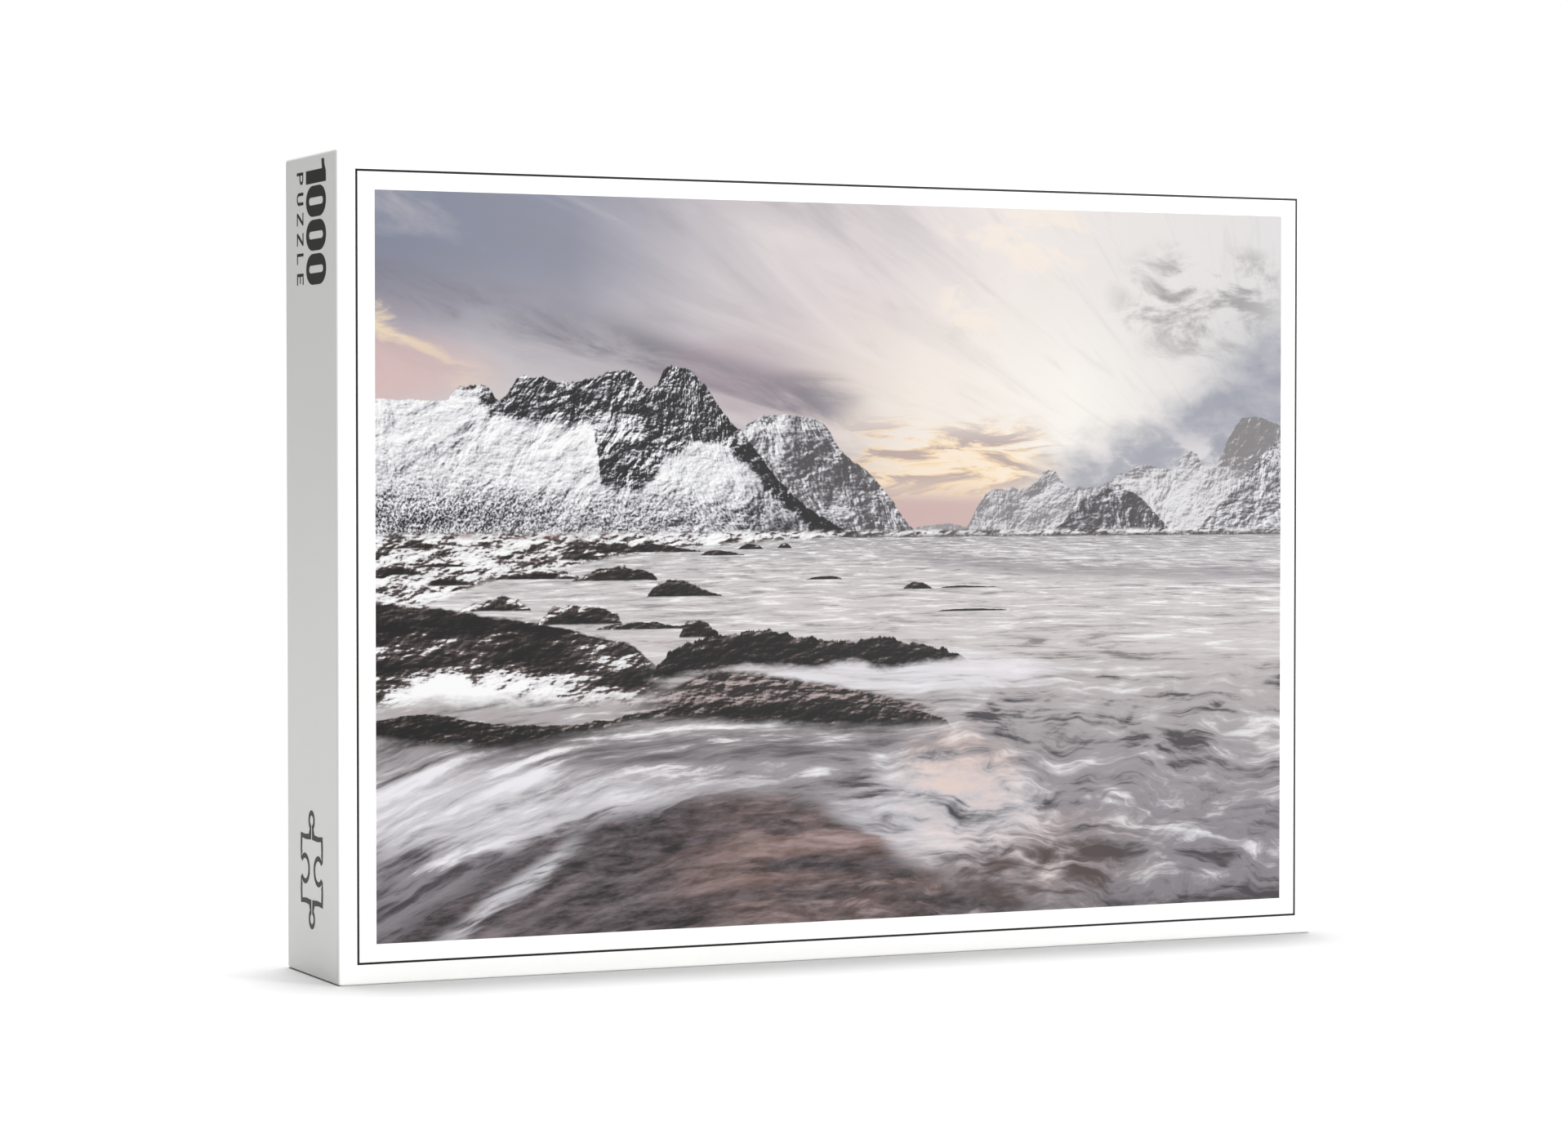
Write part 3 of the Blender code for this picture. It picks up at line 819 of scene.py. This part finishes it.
def rounded(low_a, low_b, high_a, high_b, radii, steps):
    """A rectangle's outline with round or oval corners."""
    far_a, near_a = high_a - radii[0], low_a + radii[0]
    far_b, near_b = high_b - radii[1], low_b + radii[1]
    points = []
    for quarter, centre in enumerate([(far_a, far_b), (near_a, far_b), (near_a, near_b), (far_a, near_b)]):
        points += arc(centre, radii, 90 * quarter, steps)
    return points


def box_outline(low, high, inset):
    """The box's outline in x and z, taken in by inset."""
    radius = max(CORNER_RADIUS - inset, LEAST_RADIUS)
    corners = (low.x + inset, low.z + inset, high.x - inset, high.z - inset)
    return rounded(*corners, (radius, radius), ARC_STEPS)


# ---------------------------------------------------------------- the two paper covers


def cover(name, low, high, panel_y, rim_y, material, body):
    """A wrap: outer skin, rounded fold at the panel, eased rim, and its turn-in inside."""
    direction = 1 if rim_y > panel_y else -1
    rim = abs(rim_y - panel_y)
    lip = WALL / 4
    skin = EDGE_RADIUS - PAPER
    fold = arc((EDGE_RADIUS, EDGE_RADIUS), (EDGE_RADIUS, EDGE_RADIUS), 180)[::-1]
    ease = arc(
        (RIM_EASE_INSET, rim - RIM_EASE_DEPTH), (RIM_EASE_INSET, RIM_EASE_DEPTH - lip), 90
    )[::-1]
    ease += arc((RIM_EASE_INSET + lip, rim - lip), (lip, lip), 90)[::-1]
    ease += arc((WALL - lip, rim - lip), (lip, lip), 0)[::-1]
    turn_in = [(WALL, rim - TURN_IN), (WALL - PAPER, rim - TURN_IN), (WALL - PAPER, rim - lip)]
    inside = [(WALL - lip, rim - PAPER), (RIM_EASE_INSET + lip, rim - PAPER)]
    inside += [(RIM_EASE_INSET + PAPER, rim - lip), (PAPER, rim - RIM_EASE_DEPTH)]
    inside += arc((EDGE_RADIUS, EDGE_RADIUS), (skin, skin), 180)
    profile = fold + ease + turn_in + inside
    sections = [
        [(x, panel_y + direction * y, z) for x, z in box_outline(low, high, inset)] for inset, y in profile
    ]
    obj = finish_mesh(name, loft(sections), [material], body)
    weighted_normals(obj)
    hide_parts(body + "_wrap")


# ---------------------------------------------------------------- print on the lid


def ink_plate(name, outlines, point, material):
    """Flat ink from outlines, in which an inner one is a hole. point(a, b) gives a place on the lid."""
    curve = bpy.data.curves.new(name, "CURVE")
    curve.dimensions = "2D"
    curve.fill_mode = "BOTH"
    curve.extrude = INK / 2
    for outline in outlines:
        spline = curve.splines.new("POLY")
        spline.points.add(len(outline) - 1)
        for spot, (a, b) in zip(spline.points, outline):
            spot.co = (a, b, 0, 1)
        spline.use_cyclic_u = True
    source = add_object(name, curve)
    bm = bmesh.new()
    bm.from_mesh(final_mesh(source))
    bpy.data.objects.remove(source)
    bmesh.ops.remove_doubles(bm, verts=bm.verts, dist=1e-6)
    for vert in bm.verts:
        vert.co = point(vert.co.x, vert.co.y, vert.co.z)
    return finish_mesh(name, bm, [material], "lid")


def on_front(a, b, height):
    """Ink on the picture panel: a runs along x and b up."""
    return Vector((a, FRONT_Y - INK_LIFT - height, b))


def on_left(a, b, height):
    """Ink on the left wall: a runs down from the top edge and b back from the front edge."""
    return Vector((LEFT_X - INK_LIFT - height, FRONT_Y + b, TOP_Z - a))


def on_panel(inset):
    """A rectangle on the picture panel, taken in from its edges by inset."""
    low_a, low_b = LID_LOW.x + inset, LID_LOW.z + inset
    high_a, high_b = LID_HIGH.x - inset, LID_HIGH.z - inset
    return [(low_a, low_b), (high_a, low_b), (high_a, high_b), (low_a, high_b)]


def front_print():
    frame_line = [on_panel(inset) for inset in (LINE_INSET, LINE_INSET + LINE_WIDTH)]
    ink_plate("lid_line", frame_line, on_front, ink("line_ink", "0a0a0a"))
    edge = Vector((PICTURE_INSET, 0, PICTURE_INSET))
    coast = picture_material("lid_picture_print", LID_LOW + edge, LID_HIGH - edge)
    ink_plate("lid_picture", [on_panel(PICTURE_INSET)], on_front, coast)


def bend(centre, radius, start_deg, end_deg, steps=12):
    """Points on part of a circle."""
    turns = [math.radians(start_deg + (end_deg - start_deg) * s / steps) for s in range(steps + 1)]
    return [(centre[0] + radius * math.cos(t), centre[1] + radius * math.sin(t)) for t in turns]


def digits():
    """Outlines of a tall condensed 1000."""
    tall = DIGIT_HEIGHT / MM
    wide, upright, bar = 10.2, 3.85, 3.25
    outlines = [[
        (0, tall * 0.78), (0, tall * 0.91), (2, tall * 0.93), (4.2, tall), (7.6, tall), (7.6, 0), (3.2, 0),
        (3.2, tall * 0.8),
    ]]
    for place in range(3):
        start = (DIGIT_PITCH * place + 8.4 * MM) / MM
        end = start + wide
        outlines.append(rounded(start, 0, end, tall, (5.05, 7.2), 10))
        outlines.append(rounded(start + upright, bar, end - upright, tall - bar, (1.24, 1.7), 10))
    return outlines


def letters():
    """Outlines of a light word, one letter after another."""
    tall, stroke, wide = 7.1, 1.02, 4.2
    bow = wide / 2
    letter_p = [
        [(0, 0), (stroke, 0), (stroke, tall - wide), *bend((bow, tall - bow), bow, -90, 90), (0, tall)],
        [
            (stroke, tall - wide + stroke), *bend((bow, tall - bow), bow - stroke, -90, 90),
            (stroke, tall - stroke),
        ],
    ]
    letter_u = [[
        (0, tall), *bend((bow, bow), bow, 180, 360), (wide, tall), (wide - stroke, tall),
        *bend((bow, bow), bow - stroke, 360, 180), (stroke, tall),
    ]]
    letter_z = [[
        (0, 0), (wide, 0), (wide, stroke), (1.3, stroke), (wide, tall - stroke * 1.1), (wide, tall),
        (0, tall), (0, tall - stroke), (wide - 1.3, tall - stroke), (0, stroke * 1.1),
    ]]
    letter_l = [[(0, 0), (3.6, 0), (3.6, stroke), (stroke, stroke), (stroke, tall), (0, tall)]]
    letter_e = [[
        (0, 0), (3.8, 0), (3.8, stroke), (stroke, stroke), (stroke, 3.1), (3.4, 3.1), (3.4, 3.1 + stroke),
        (stroke, 3.1 + stroke), (stroke, tall - stroke), (3.8, tall - stroke), (3.8, tall), (0, tall),
    ]]
    outlines = []
    for place, letter in enumerate([letter_p, letter_u, letter_z, letter_z, letter_l, letter_e]):
        for outline in letter:
            outlines.append([(a + place * WORD_PITCH / MM, b) for a, b in outline])
    return outlines


def on_side(outlines, start, base):
    """Letters in millimetres, turned so that they run down the left wall with their tops to the front."""
    return [[(start + a * MM, base - b * MM) for a, b in outline] for outline in outlines]


def side_print():
    dark = ink("side_ink", "2b2b29")
    ink_plate("lid_number", on_side(digits(), DIGIT_START, DIGIT_BASE), on_left, dark)
    ink_plate("lid_word", on_side(letters(), WORD_START, WORD_BASE), on_left, dark)
    sign = [piece_outline((-1, 1, -1, 1), SIGN_HALF, inset, 14) for inset in (0, SIGN_STROKE)]
    sign = [[(SIGN_PLACE[0] + a, SIGN_PLACE[1] + b) for a, b in outline] for outline in sign]
    ink_plate("lid_sign", sign, on_left, ink("sign_ink", "1e1e1e"))


# ---------------------------------------------------------------- boards and stays


def chipboard(name, colour):
    """Grey recycled board: pale and dark fibres, specks and a rough, slightly layered face."""
    n = Nodes(name)
    vector = n.position()
    x, y, z = n.parts(vector)
    fibres = n.noise((x * 260, y * 900, z * 700), 5, 0.7, 1.2)
    cross = n.noise((x * 900, y * 400, z * 240), 5, 0.7, 1.2)
    cloud = n.noise(vector, 4, 0.6, scale=45)
    specks = n.noise(vector, 2, 0.5, scale=1500)
    base = n.mix(n.smooth(0.35, 0.7, fibres * 0.5 + cloud * 0.5), colour, "a39d92")
    base = n.mix(n.smooth(0.6, 0.78, cross) * 0.6, base, "c9c3b8")
    base = n.mix(n.smooth(0.66, 0.74, specks) * 0.7, base, "4f4a44")
    n.surface(base, 0.82 + cloud * 0.12, 0.2)
    n.bump(fibres * 0.5 + cross * 0.5 + specks * 0.2, 0.12 * MM, 0.7)
    return n.material


def kraft(name):
    """Brown stay paper with its machine stripes and long fibres."""
    n = Nodes(name)
    vector = n.position()
    x, y, z = n.parts(vector)
    fibres = n.noise((x * 700, y * 240, z * 700), 5, 0.65, 0.8)
    stripes = n.noise((x * 30, y * 1400, z * 30), 3, 0.6)
    base = n.mix(n.smooth(0.35, 0.68, fibres), "8d6f4b", "b3946a")
    n.surface(n.mix(n.smooth(0.45, 0.7, stripes) * 0.3, base, "755a3b"), 0.7 + fibres * 0.2, 0.25)
    n.bump(fibres * 0.7 + stripes * 0.3, 0.06 * MM, 0.6)
    return n.material


def paint(node, made):
    """Gives a CAD piece its finish."""
    obj = bpy.data.objects[node]
    obj.data.materials.clear()
    obj.data.materials.append(made)


def boards_and_stays():
    board = chipboard("grey_board", "85807a")
    stay = kraft("stay_kraft")
    for half in ("lid", "tray"):
        paint(half + "_board", board)
        for number in range(1, 5):
            paint(f"{half}_corner_stay_{number}", stay)


# ---------------------------------------------------------------- poster


def poster_material(low, high):
    """The same coast, printed inside a white margin on the front leaf."""
    n = Nodes("poster_print")
    vector = n.position()
    x, _, z = n.parts(vector)
    margin = POSTER_MARGIN
    u = (x - low.x - margin) / (high.x - low.x - 2 * margin)
    v = (z - low.z - margin) / (high.z - low.z - 2 * margin)
    inside = between(n, u, 0, 1, 0.0006) * between(n, v, 0, 1, 0.0008)
    return coated_paper(n, vector, n.mix(inside, "f1f1ef", printed_picture(n, u, v)), 0.42)


def poster():
    """A sheet folded once at the bottom, bowed a little towards the bag."""
    low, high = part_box("poster")
    middle = (low.y + high.y) / 2
    outer = LEAF_SPREAD / 2 + PAPER
    inner = LEAF_SPREAD / 2
    fold_z = low.z + outer
    climb = [fold_z + (high.z - fold_z) * row / POSTER_ROWS for row in range(1, POSTER_ROWS + 1)]
    turns = [math.pi * (1 + s / 8) for s in range(9)]
    profile = [(-outer, z) for z in reversed(climb)]
    profile += [(outer * math.cos(t), fold_z + outer * math.sin(t)) for t in turns]
    profile += [(outer, z) for z in climb]
    profile += [(inner, z) for z in reversed(climb)]
    profile += [(inner * math.cos(t), fold_z + inner * math.sin(t)) for t in reversed(turns)]
    profile += [(-inner, z) for z in climb]
    sections = []
    for column in range(POSTER_COLUMNS + 1):
        x = low.x + (high.x - low.x) * column / POSTER_COLUMNS
        section = []
        for y, z in profile:
            rise = (z - low.z) / (high.z - low.z)
            bow = POSTER_BOW * math.sin(math.pi * rise) * (0.6 + 0.4 * math.sin(x * 31 + rise * 2))
            section.append((x, middle + y + bow, z))
        sections.append(section)
    finishes = [poster_material(low, high), plain_paper("poster_back", "eeeeec")]
    obj = finish_mesh("poster_sheet", loft(sections), finishes, "poster")
    for face in obj.data.polygons:
        front = face.normal.y < -0.5 and face.center.y < middle + POSTER_BOW - inner
        face.material_index = 0 if front else 1
    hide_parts("poster")


# ---------------------------------------------------------------- film bag


# The bag's stations from its bottom to the end of its top seal: height in millimetres above the tray's
# wall, share of the half width, share of the half depth, and how far the station leans back in millimetres.
BAG_STATIONS = [
    (0, 0.93, 0.60, 0), (2, 0.97, 0.80, 0), (8, 1, 0.97, 0), (20, 1, 1, 0), (110, 1, 1, 0),
    (124, 0.99, 0.94, 0), (138, 0.97, 0.74, 2), (150, 0.95, 0.42, 6), (160, 0.94, 0.14, 11),
    (168, 0.94, 0.03, 15), (198, 0.94, 0.03, 21), (206, 0.94, 0.03, 21),
]


def station(height):
    """Shares and lean of the bag at a height in millimetres."""
    for below, above in zip(BAG_STATIONS, BAG_STATIONS[1:]):
        if height <= above[0]:
            share = (height - below[0]) / (above[0] - below[0])
            return [a + (b - a) * share for a, b in zip(below[1:], above[1:])]
    return BAG_STATIONS[-1][1:]


def film_material():
    """Clear crinkled film, with crimped bands at both seals."""
    n = Nodes("bag_film")
    vector = n.position()
    x, y, z = n.parts(vector)
    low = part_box("piece_bag")[0]
    soft = n.noise(vector, 5, 0.6, 1.5, scale=90)
    shift = n.noise(vector, 4, 0.6, scale=40)
    place = (x * 70 + shift * 5, y * 30 + soft * 2, z * 38 + x * 25 - shift * 6)
    crinkle = n.cells(place, "DISTANCE_TO_EDGE")
    up = z - low.z
    top = n.smooth(TOP_SEAL, TOP_SEAL + MM, up)
    seal = n.math("MAXIMUM", top, n.smooth(BOTTOM_SEAL, BOTTOM_SEAL - 1.5 * MM, up))
    ribs = n.math("SINE", z * SEAL_RIBS) * 0.5 + 0.5
    crease = n.smooth(0.045, 0.0, crinkle) * n.smooth(0.45, 0.6, soft)
    n.surface(n.mix(crease * 0.5, "dfe5e9", "ffffff"), 0.09 + soft * 0.1 + seal * 0.12, 0.5)
    n.set("Alpha", 0.12 + crease * 0.16 + n.smooth(0.5, 0.8, soft) * 0.12 + seal * (0.14 + ribs * 0.14))
    n.bump(n.smooth(0.0, 0.2, crinkle) * 0.3 + soft * 0.9 + seal * ribs * 0.3, 0.5 * MM, 0.6)
    return n.material


def film_point(turn, height, low):
    """A point of the bag's skin, pushed outwards by the pieces and by its creases."""
    width, depth, lean = station(height)
    half_x = BAG_HALF_WIDTH * width
    half_y = max(BAG_HALF_DEPTH * depth, SEAL_HALF)
    c, s = math.cos(turn), math.sin(turn)
    x = half_x * math.copysign(abs(c) ** (2 / BAG_SQUARENESS), c)
    y = half_y * math.copysign(abs(s) ** (2 / BAG_SQUARENESS), s)
    full = min(1.0, half_y / (8 * MM))
    open_share = min(1.0, half_y / (3 * MM))
    place = Vector((x, y, height * MM))
    lumps = noise.noise(place * 55) * 0.5 + 0.5
    creases = 1.0 - abs(noise.noise(place * 90 + Vector((0, 9, 0))))
    puckers = math.sin(x * 900 + 4 * noise.noise(place * 30))
    puckers *= max(0.0, 1 - abs(height - PUCKER_HEIGHT) / PUCKER_REACH)
    out = (lumps * LUMP + creases ** 4 * CREASE) * full + puckers * PUCKER * open_share
    y += BAG_CENTRE + lean * MM + math.copysign(out, s) * abs(s) ** 0.4
    return Vector((x, y, low.z + height * MM))


def film_bag():
    low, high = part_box("piece_bag")
    tall = (high.z - low.z) / MM
    sections = [
        [film_point(2 * math.pi * s / BAG_STEPS, tall * row / BAG_ROWS, low) for s in range(BAG_STEPS)]
        for row in range(BAG_ROWS + 1)
    ]
    obj = finish_mesh("film_bag", loft(sections), [film_material()], "bag", 80)
    punch_vent(obj, Vector((0, BAG_CENTRE, low.z)) + Vector(VENT_PLACE))
    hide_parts("piece_bag")


def punch_vent(obj, centre):
    """Cuts the round air hole through both skins of the top seal."""
    bm = bmesh.new()
    turn = Matrix.Rotation(math.pi / 2, 4, "X")
    bmesh.ops.create_cone(
        bm, cap_ends=True, segments=32, radius1=VENT_RADIUS, radius2=VENT_RADIUS, depth=12 * MM,
        matrix=Matrix.Translation(centre) @ turn,
    )
    punch = add_object("vent", new_mesh("vent", bm))
    modifier = obj.modifiers.new("vent", "BOOLEAN")
    modifier.operation = "DIFFERENCE"
    modifier.object = punch
    cut = final_mesh(obj)
    obj.modifiers.clear()
    obj.data = cut
    bpy.data.objects.remove(punch)


# ---------------------------------------------------------------- jigsaw pieces


def piece_side(kind, half, inset, steps):
    """One side from corner to corner along +a: kind is 1 knob, -1 socket or 0 straight."""
    scale = half / PIECE_HALF
    side = half - inset
    if kind == 0:
        return [(-side, 0)]
    reach = KNOB_REACH * scale + inset * kind
    radius = KNOB_RADIUS * scale - inset * kind
    neck = NECK_HALF * scale - inset * kind
    turn = math.degrees(math.asin(neck / radius))
    knob = bend((0, reach), radius, 270 - turn, turn - 90, steps)
    dip = 0.25 * MM * scale
    points = [(-side, 0), (-side * 0.6, -dip), (-neck * 1.5, 0), *knob, (neck * 1.5, 0), (side * 0.6, -dip)]
    return [(a, b * kind) for a, b in points]


def piece_outline(kinds, half=PIECE_HALF, inset=0.0, steps=12):
    """A jigsaw piece's outline, moved in by inset, one kind for each side."""
    outline = []
    for side, kind in enumerate(kinds):
        turn = Matrix.Rotation(-math.pi / 2 * side, 2)
        for a, b in piece_side(kind, half, inset, steps):
            outline.append(tuple(turn @ Vector((a, b + half - inset))))
    return outline


def add_piece(bm, rings, placement, seed, seeds):
    """Adds a piece from rings of (outline, depth), its first ring being the printed face."""
    made = []
    for outline, depth in rings:
        made.append([bm.verts.new(placement @ Vector((a, depth, b))) for a, b in outline])
    faces = [bm.faces.new(made[0]), bm.faces.new(list(reversed(made[-1])))]
    faces[0].material_index = 1
    for first, second in zip(made, made[1:]):
        for i in range(len(first)):
            j = (i + 1) % len(first)
            faces.append(bm.faces.new((first[j], first[i], second[i], second[j])))
    for face in faces:
        face[seeds] = seed


def random_kinds(rng):
    kinds = [rng.choice((-1, 1)) for _ in range(4)]
    if rng.random() < 0.2:
        kinds[rng.randrange(4)] = 0
    return kinds


def piece_print():
    """A scrap of the picture, different on each piece."""
    n = Nodes("piece_print")
    vector = n.position()
    x, _, z = n.parts(vector)
    seed = n.add("Attribute", {}, output=2, attribute_name="piece_seed")
    wide = n.noise((x * 40 + seed * 91, z * 40 - seed * 57, seed * 13), 7, 0.6, 0.8)
    streaks = n.noise((x * 60 + seed * 30, z * 300, seed * 5), 5, 0.6, 0.4)
    hue = n.noise((seed * 37, seed * 11), 1, 0.5)
    tone = wide * 0.6 + streaks * 0.25 + (n.math("FRACT", seed * 7.31) - 0.5) * 0.35 + 0.08
    grey = n.ramp(tone, [
        (0.22, "191719"), (0.38, "575256"), (0.5, "96939a"), (0.62, "cfccd0"), (0.8, "f1f0f2"),
    ])
    warm = n.ramp(tone, [(0.22, "2a1f1c"), (0.42, "8a6a5f"), (0.6, "dcb8a8"), (0.8, "f6e9da")])
    return coated_paper(n, vector, n.mix(n.smooth(0.52, 0.66, hue) * 0.8, grey, warm), 0.35)


def piece_board():
    """The grey back and cut edges of a piece."""
    n = Nodes("piece_board")
    vector = n.position()
    x, y, z = n.parts(vector)
    fibres = n.noise((x * 500, y * 1600, z * 500), 5, 0.7, 0.8)
    cloud = n.noise(vector, 3, 0.6, scale=60)
    colour = n.mix(n.smooth(0.35, 0.7, fibres * 0.6 + cloud * 0.4), "8f9293", "b6b8b7")
    n.surface(colour, 0.75 + cloud * 0.15, 0.25)
    n.bump(fibres, 0.05 * MM, 0.6)
    return n.material


def bag_front(x):
    """Depth of the full bag's front at x."""
    share = (x / BAG_HALF_WIDTH) ** BAG_SQUARENESS
    return BAG_CENTRE - BAG_HALF_DEPTH * (1 - share) ** (1 / BAG_SQUARENESS)


def front_pieces(finishes):
    """The pieces that lie flat against the front of the bag, each its own object."""
    rng = random.Random(FRONT_SEED)
    spacing = 2 * FRONT_SPREAD * BAG_HALF_WIDTH / PIECE_COLUMNS
    soft = PIECE_EDGE
    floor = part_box("piece_bag")[0].z
    for number in range(PIECE_ROWS * PIECE_COLUMNS):
        row, column = divmod(number, PIECE_COLUMNS)
        kinds = random_kinds(rng)
        turn = Matrix.Rotation(rng.uniform(-math.pi, math.pi), 4, "Y")
        x = spacing * (column - (PIECE_COLUMNS - 1) / 2)
        y = bag_front(abs(x) + PIECE_REACH) + PAPER + FRONT_GAP
        centre = Vector((x, y, floor + FRONT_FOOT + FRONT_ROW_STEP * row))
        bm = bmesh.new()
        seeds = bm.faces.layers.float.new("piece_seed")
        rings = [(soft, 0), (soft * 0.3, soft * 0.3), (0, soft), (0, PIECE_THICK - soft * 0.5)]
        rings.append((soft * 0.5, PIECE_THICK))
        shape = [(piece_outline(kinds, PIECE_HALF, inset), depth) for inset, depth in rings]
        flip = number % 3 == 1
        if flip:
            shape = [(outline, PIECE_THICK - depth) for outline, depth in shape]
        add_piece(bm, shape, Matrix.Translation(centre) @ turn, 0.017 + number * 0.041, seeds)
        obj = finish_mesh(f"front_piece_{number + 1:02d}", bm, finishes, "bag", 55)
        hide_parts(f"puzzle_piece_{number + 1:02d}")


def loose_place(rng, row, column, layer, layers, low):
    """Where one loose piece lies: rows go up, columns across and layers back."""
    height = LOOSE_FOOT + row * LOOSE_ROW_STEP + rng.uniform(-LOOSE_SHIFT, LOOSE_SHIFT)
    width, depth, lean = station(height + LOOSE_REACH)
    half_y = BAG_HALF_DEPTH * depth / MM - 1.6
    front = BAG_CENTRE / MM - half_y + (3.0 if row < LOOSE_ROWS else 1.2)
    back = BAG_CENTRE / MM + half_y
    share = (layer + 0.5) / layers
    y = front + (back - front) * share + lean
    across = column - (LOOSE_COLUMNS - 1) / 2
    x = across * LOOSE_COLUMN_STEP * width + rng.uniform(-LOOSE_SHIFT, LOOSE_SHIFT)
    limits = (LOOSE_TILT, math.pi, LOOSE_TILT)
    turn = Euler([rng.uniform(-limit, limit) for limit in limits])
    spot = Vector((x * MM, y * MM, low.z + height * MM))
    return Matrix.Translation(spot) @ turn.to_matrix().to_4x4()


def heap(finishes):
    """The loose pieces behind the front ones, lying in jumbled layers inside the bag."""
    rng = random.Random(HEAP_SEED)
    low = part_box("piece_bag")[0]
    bm = bmesh.new()
    seeds = bm.faces.layers.float.new("piece_seed")
    spots = []
    for row in range(LOOSE_ROWS + 1):
        layers = LOOSE_LAYERS if row < LOOSE_ROWS else TOP_LAYERS
        for column in range(LOOSE_COLUMNS):
            spots += [(row, column, layer, layers) for layer in range(layers)]
    rng.shuffle(spots)
    for row, column, layer, layers in sorted(spots[:LOOSE_PIECES]):
        place = loose_place(rng, row, column, layer, layers, low)
        outline = piece_outline(random_kinds(rng), PIECE_HALF, 0, 5)
        half = PIECE_THICK / 2 * rng.choice((-1, 1))
        add_piece(bm, [(outline, -half), (outline, half)], place, rng.random(), seeds)
    obj = finish_mesh("loose_heap", bm, finishes, "bag", 30)
    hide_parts("loose_pieces")


def contents():
    poster()
    film_bag()
    finishes = [piece_board(), piece_print()]
    front_pieces(finishes)
    heap(finishes)


# ---------------------------------------------------------------- camera, lights and floor


CAMERA_PLACE = Vector((-0.5949, -1.2839, 0.1690))
CAMERA_AIM = Vector((-0.0124, 0, 0.1329))
LENS = 92.7
WORLD_LIGHT = 0.13
BACKDROP_LIGHT = 1.1
FLOOR_RADIUS = 12


def camera():
    data = bpy.data.cameras.new("camera")
    data.lens = LENS
    data.sensor_width = 36
    obj = add_object("camera", data)
    obj.location = CAMERA_PLACE
    obj.rotation_euler = (CAMERA_AIM - CAMERA_PLACE).to_track_quat("-Z", "Y").to_euler()
    bpy.context.scene.camera = obj


def soft_light(name, azimuth_deg, elevation_deg, spread_deg, strength):
    """A far, soft light. Azimuth 0 shines on the front, and 90 on the right wall."""
    data = bpy.data.lights.new(name, "SUN")
    data.angle = math.radians(spread_deg)
    data.energy = strength
    obj = add_object(name, data)
    azimuth, elevation = math.radians(azimuth_deg), math.radians(elevation_deg)
    flat = math.cos(elevation)
    source = Vector((math.sin(azimuth) * flat, -math.cos(azimuth) * flat, math.sin(elevation)))
    obj.rotation_euler = (-source).to_track_quat("-Z", "Y").to_euler()


def world():
    """White all round: bright to the camera, and dim as a light."""
    made = bpy.data.worlds.new("studio")
    bpy.context.scene.world = made
    made.use_nodes = True
    n = Nodes("studio", made.node_tree)
    background = n.tree.nodes["Background"].inputs
    seen = n.add("LightPath", {}, output="Is Camera Ray")
    inputs = {"Value": seen, "To Min": WORLD_LIGHT, "To Max": BACKDROP_LIGHT}
    n.plug(n.add("MapRange", inputs), background["Strength"])
    n.plug((1, 1, 1, 1), background["Color"])


def stage():
    bm = bmesh.new()
    bmesh.ops.create_circle(bm, cap_ends=True, segments=64, radius=FLOOR_RADIUS)
    n = Nodes("floor_paint")
    n.surface(rgb("cccccc"), 0.9, 0.1)
    floor = add_object("floor", new_mesh("floor", bm))
    floor.data.materials.append(n.material)


def studio():
    bpy.context.scene.view_settings.view_transform = "Standard"
    camera()
    world()
    stage()
    soft_light("key", azimuth_deg=38, elevation_deg=10, spread_deg=16, strength=2.7)
    soft_light("overhead", azimuth_deg=165, elevation_deg=86, spread_deg=16, strength=4.95)


def main():
    studio()
    white = plain_paper("cover_paper", "f3f3f2")
    cover("lid_cover", LID_LOW, LID_HIGH, LID_LOW.y, LID_HIGH.y, white, "lid")
    cover("tray_cover", TRAY_LOW, TRAY_HIGH, TRAY_HIGH.y, TRAY_LOW.y, white, "tray")
    front_print()
    side_print()
    boards_and_stays()
    contents()


main()
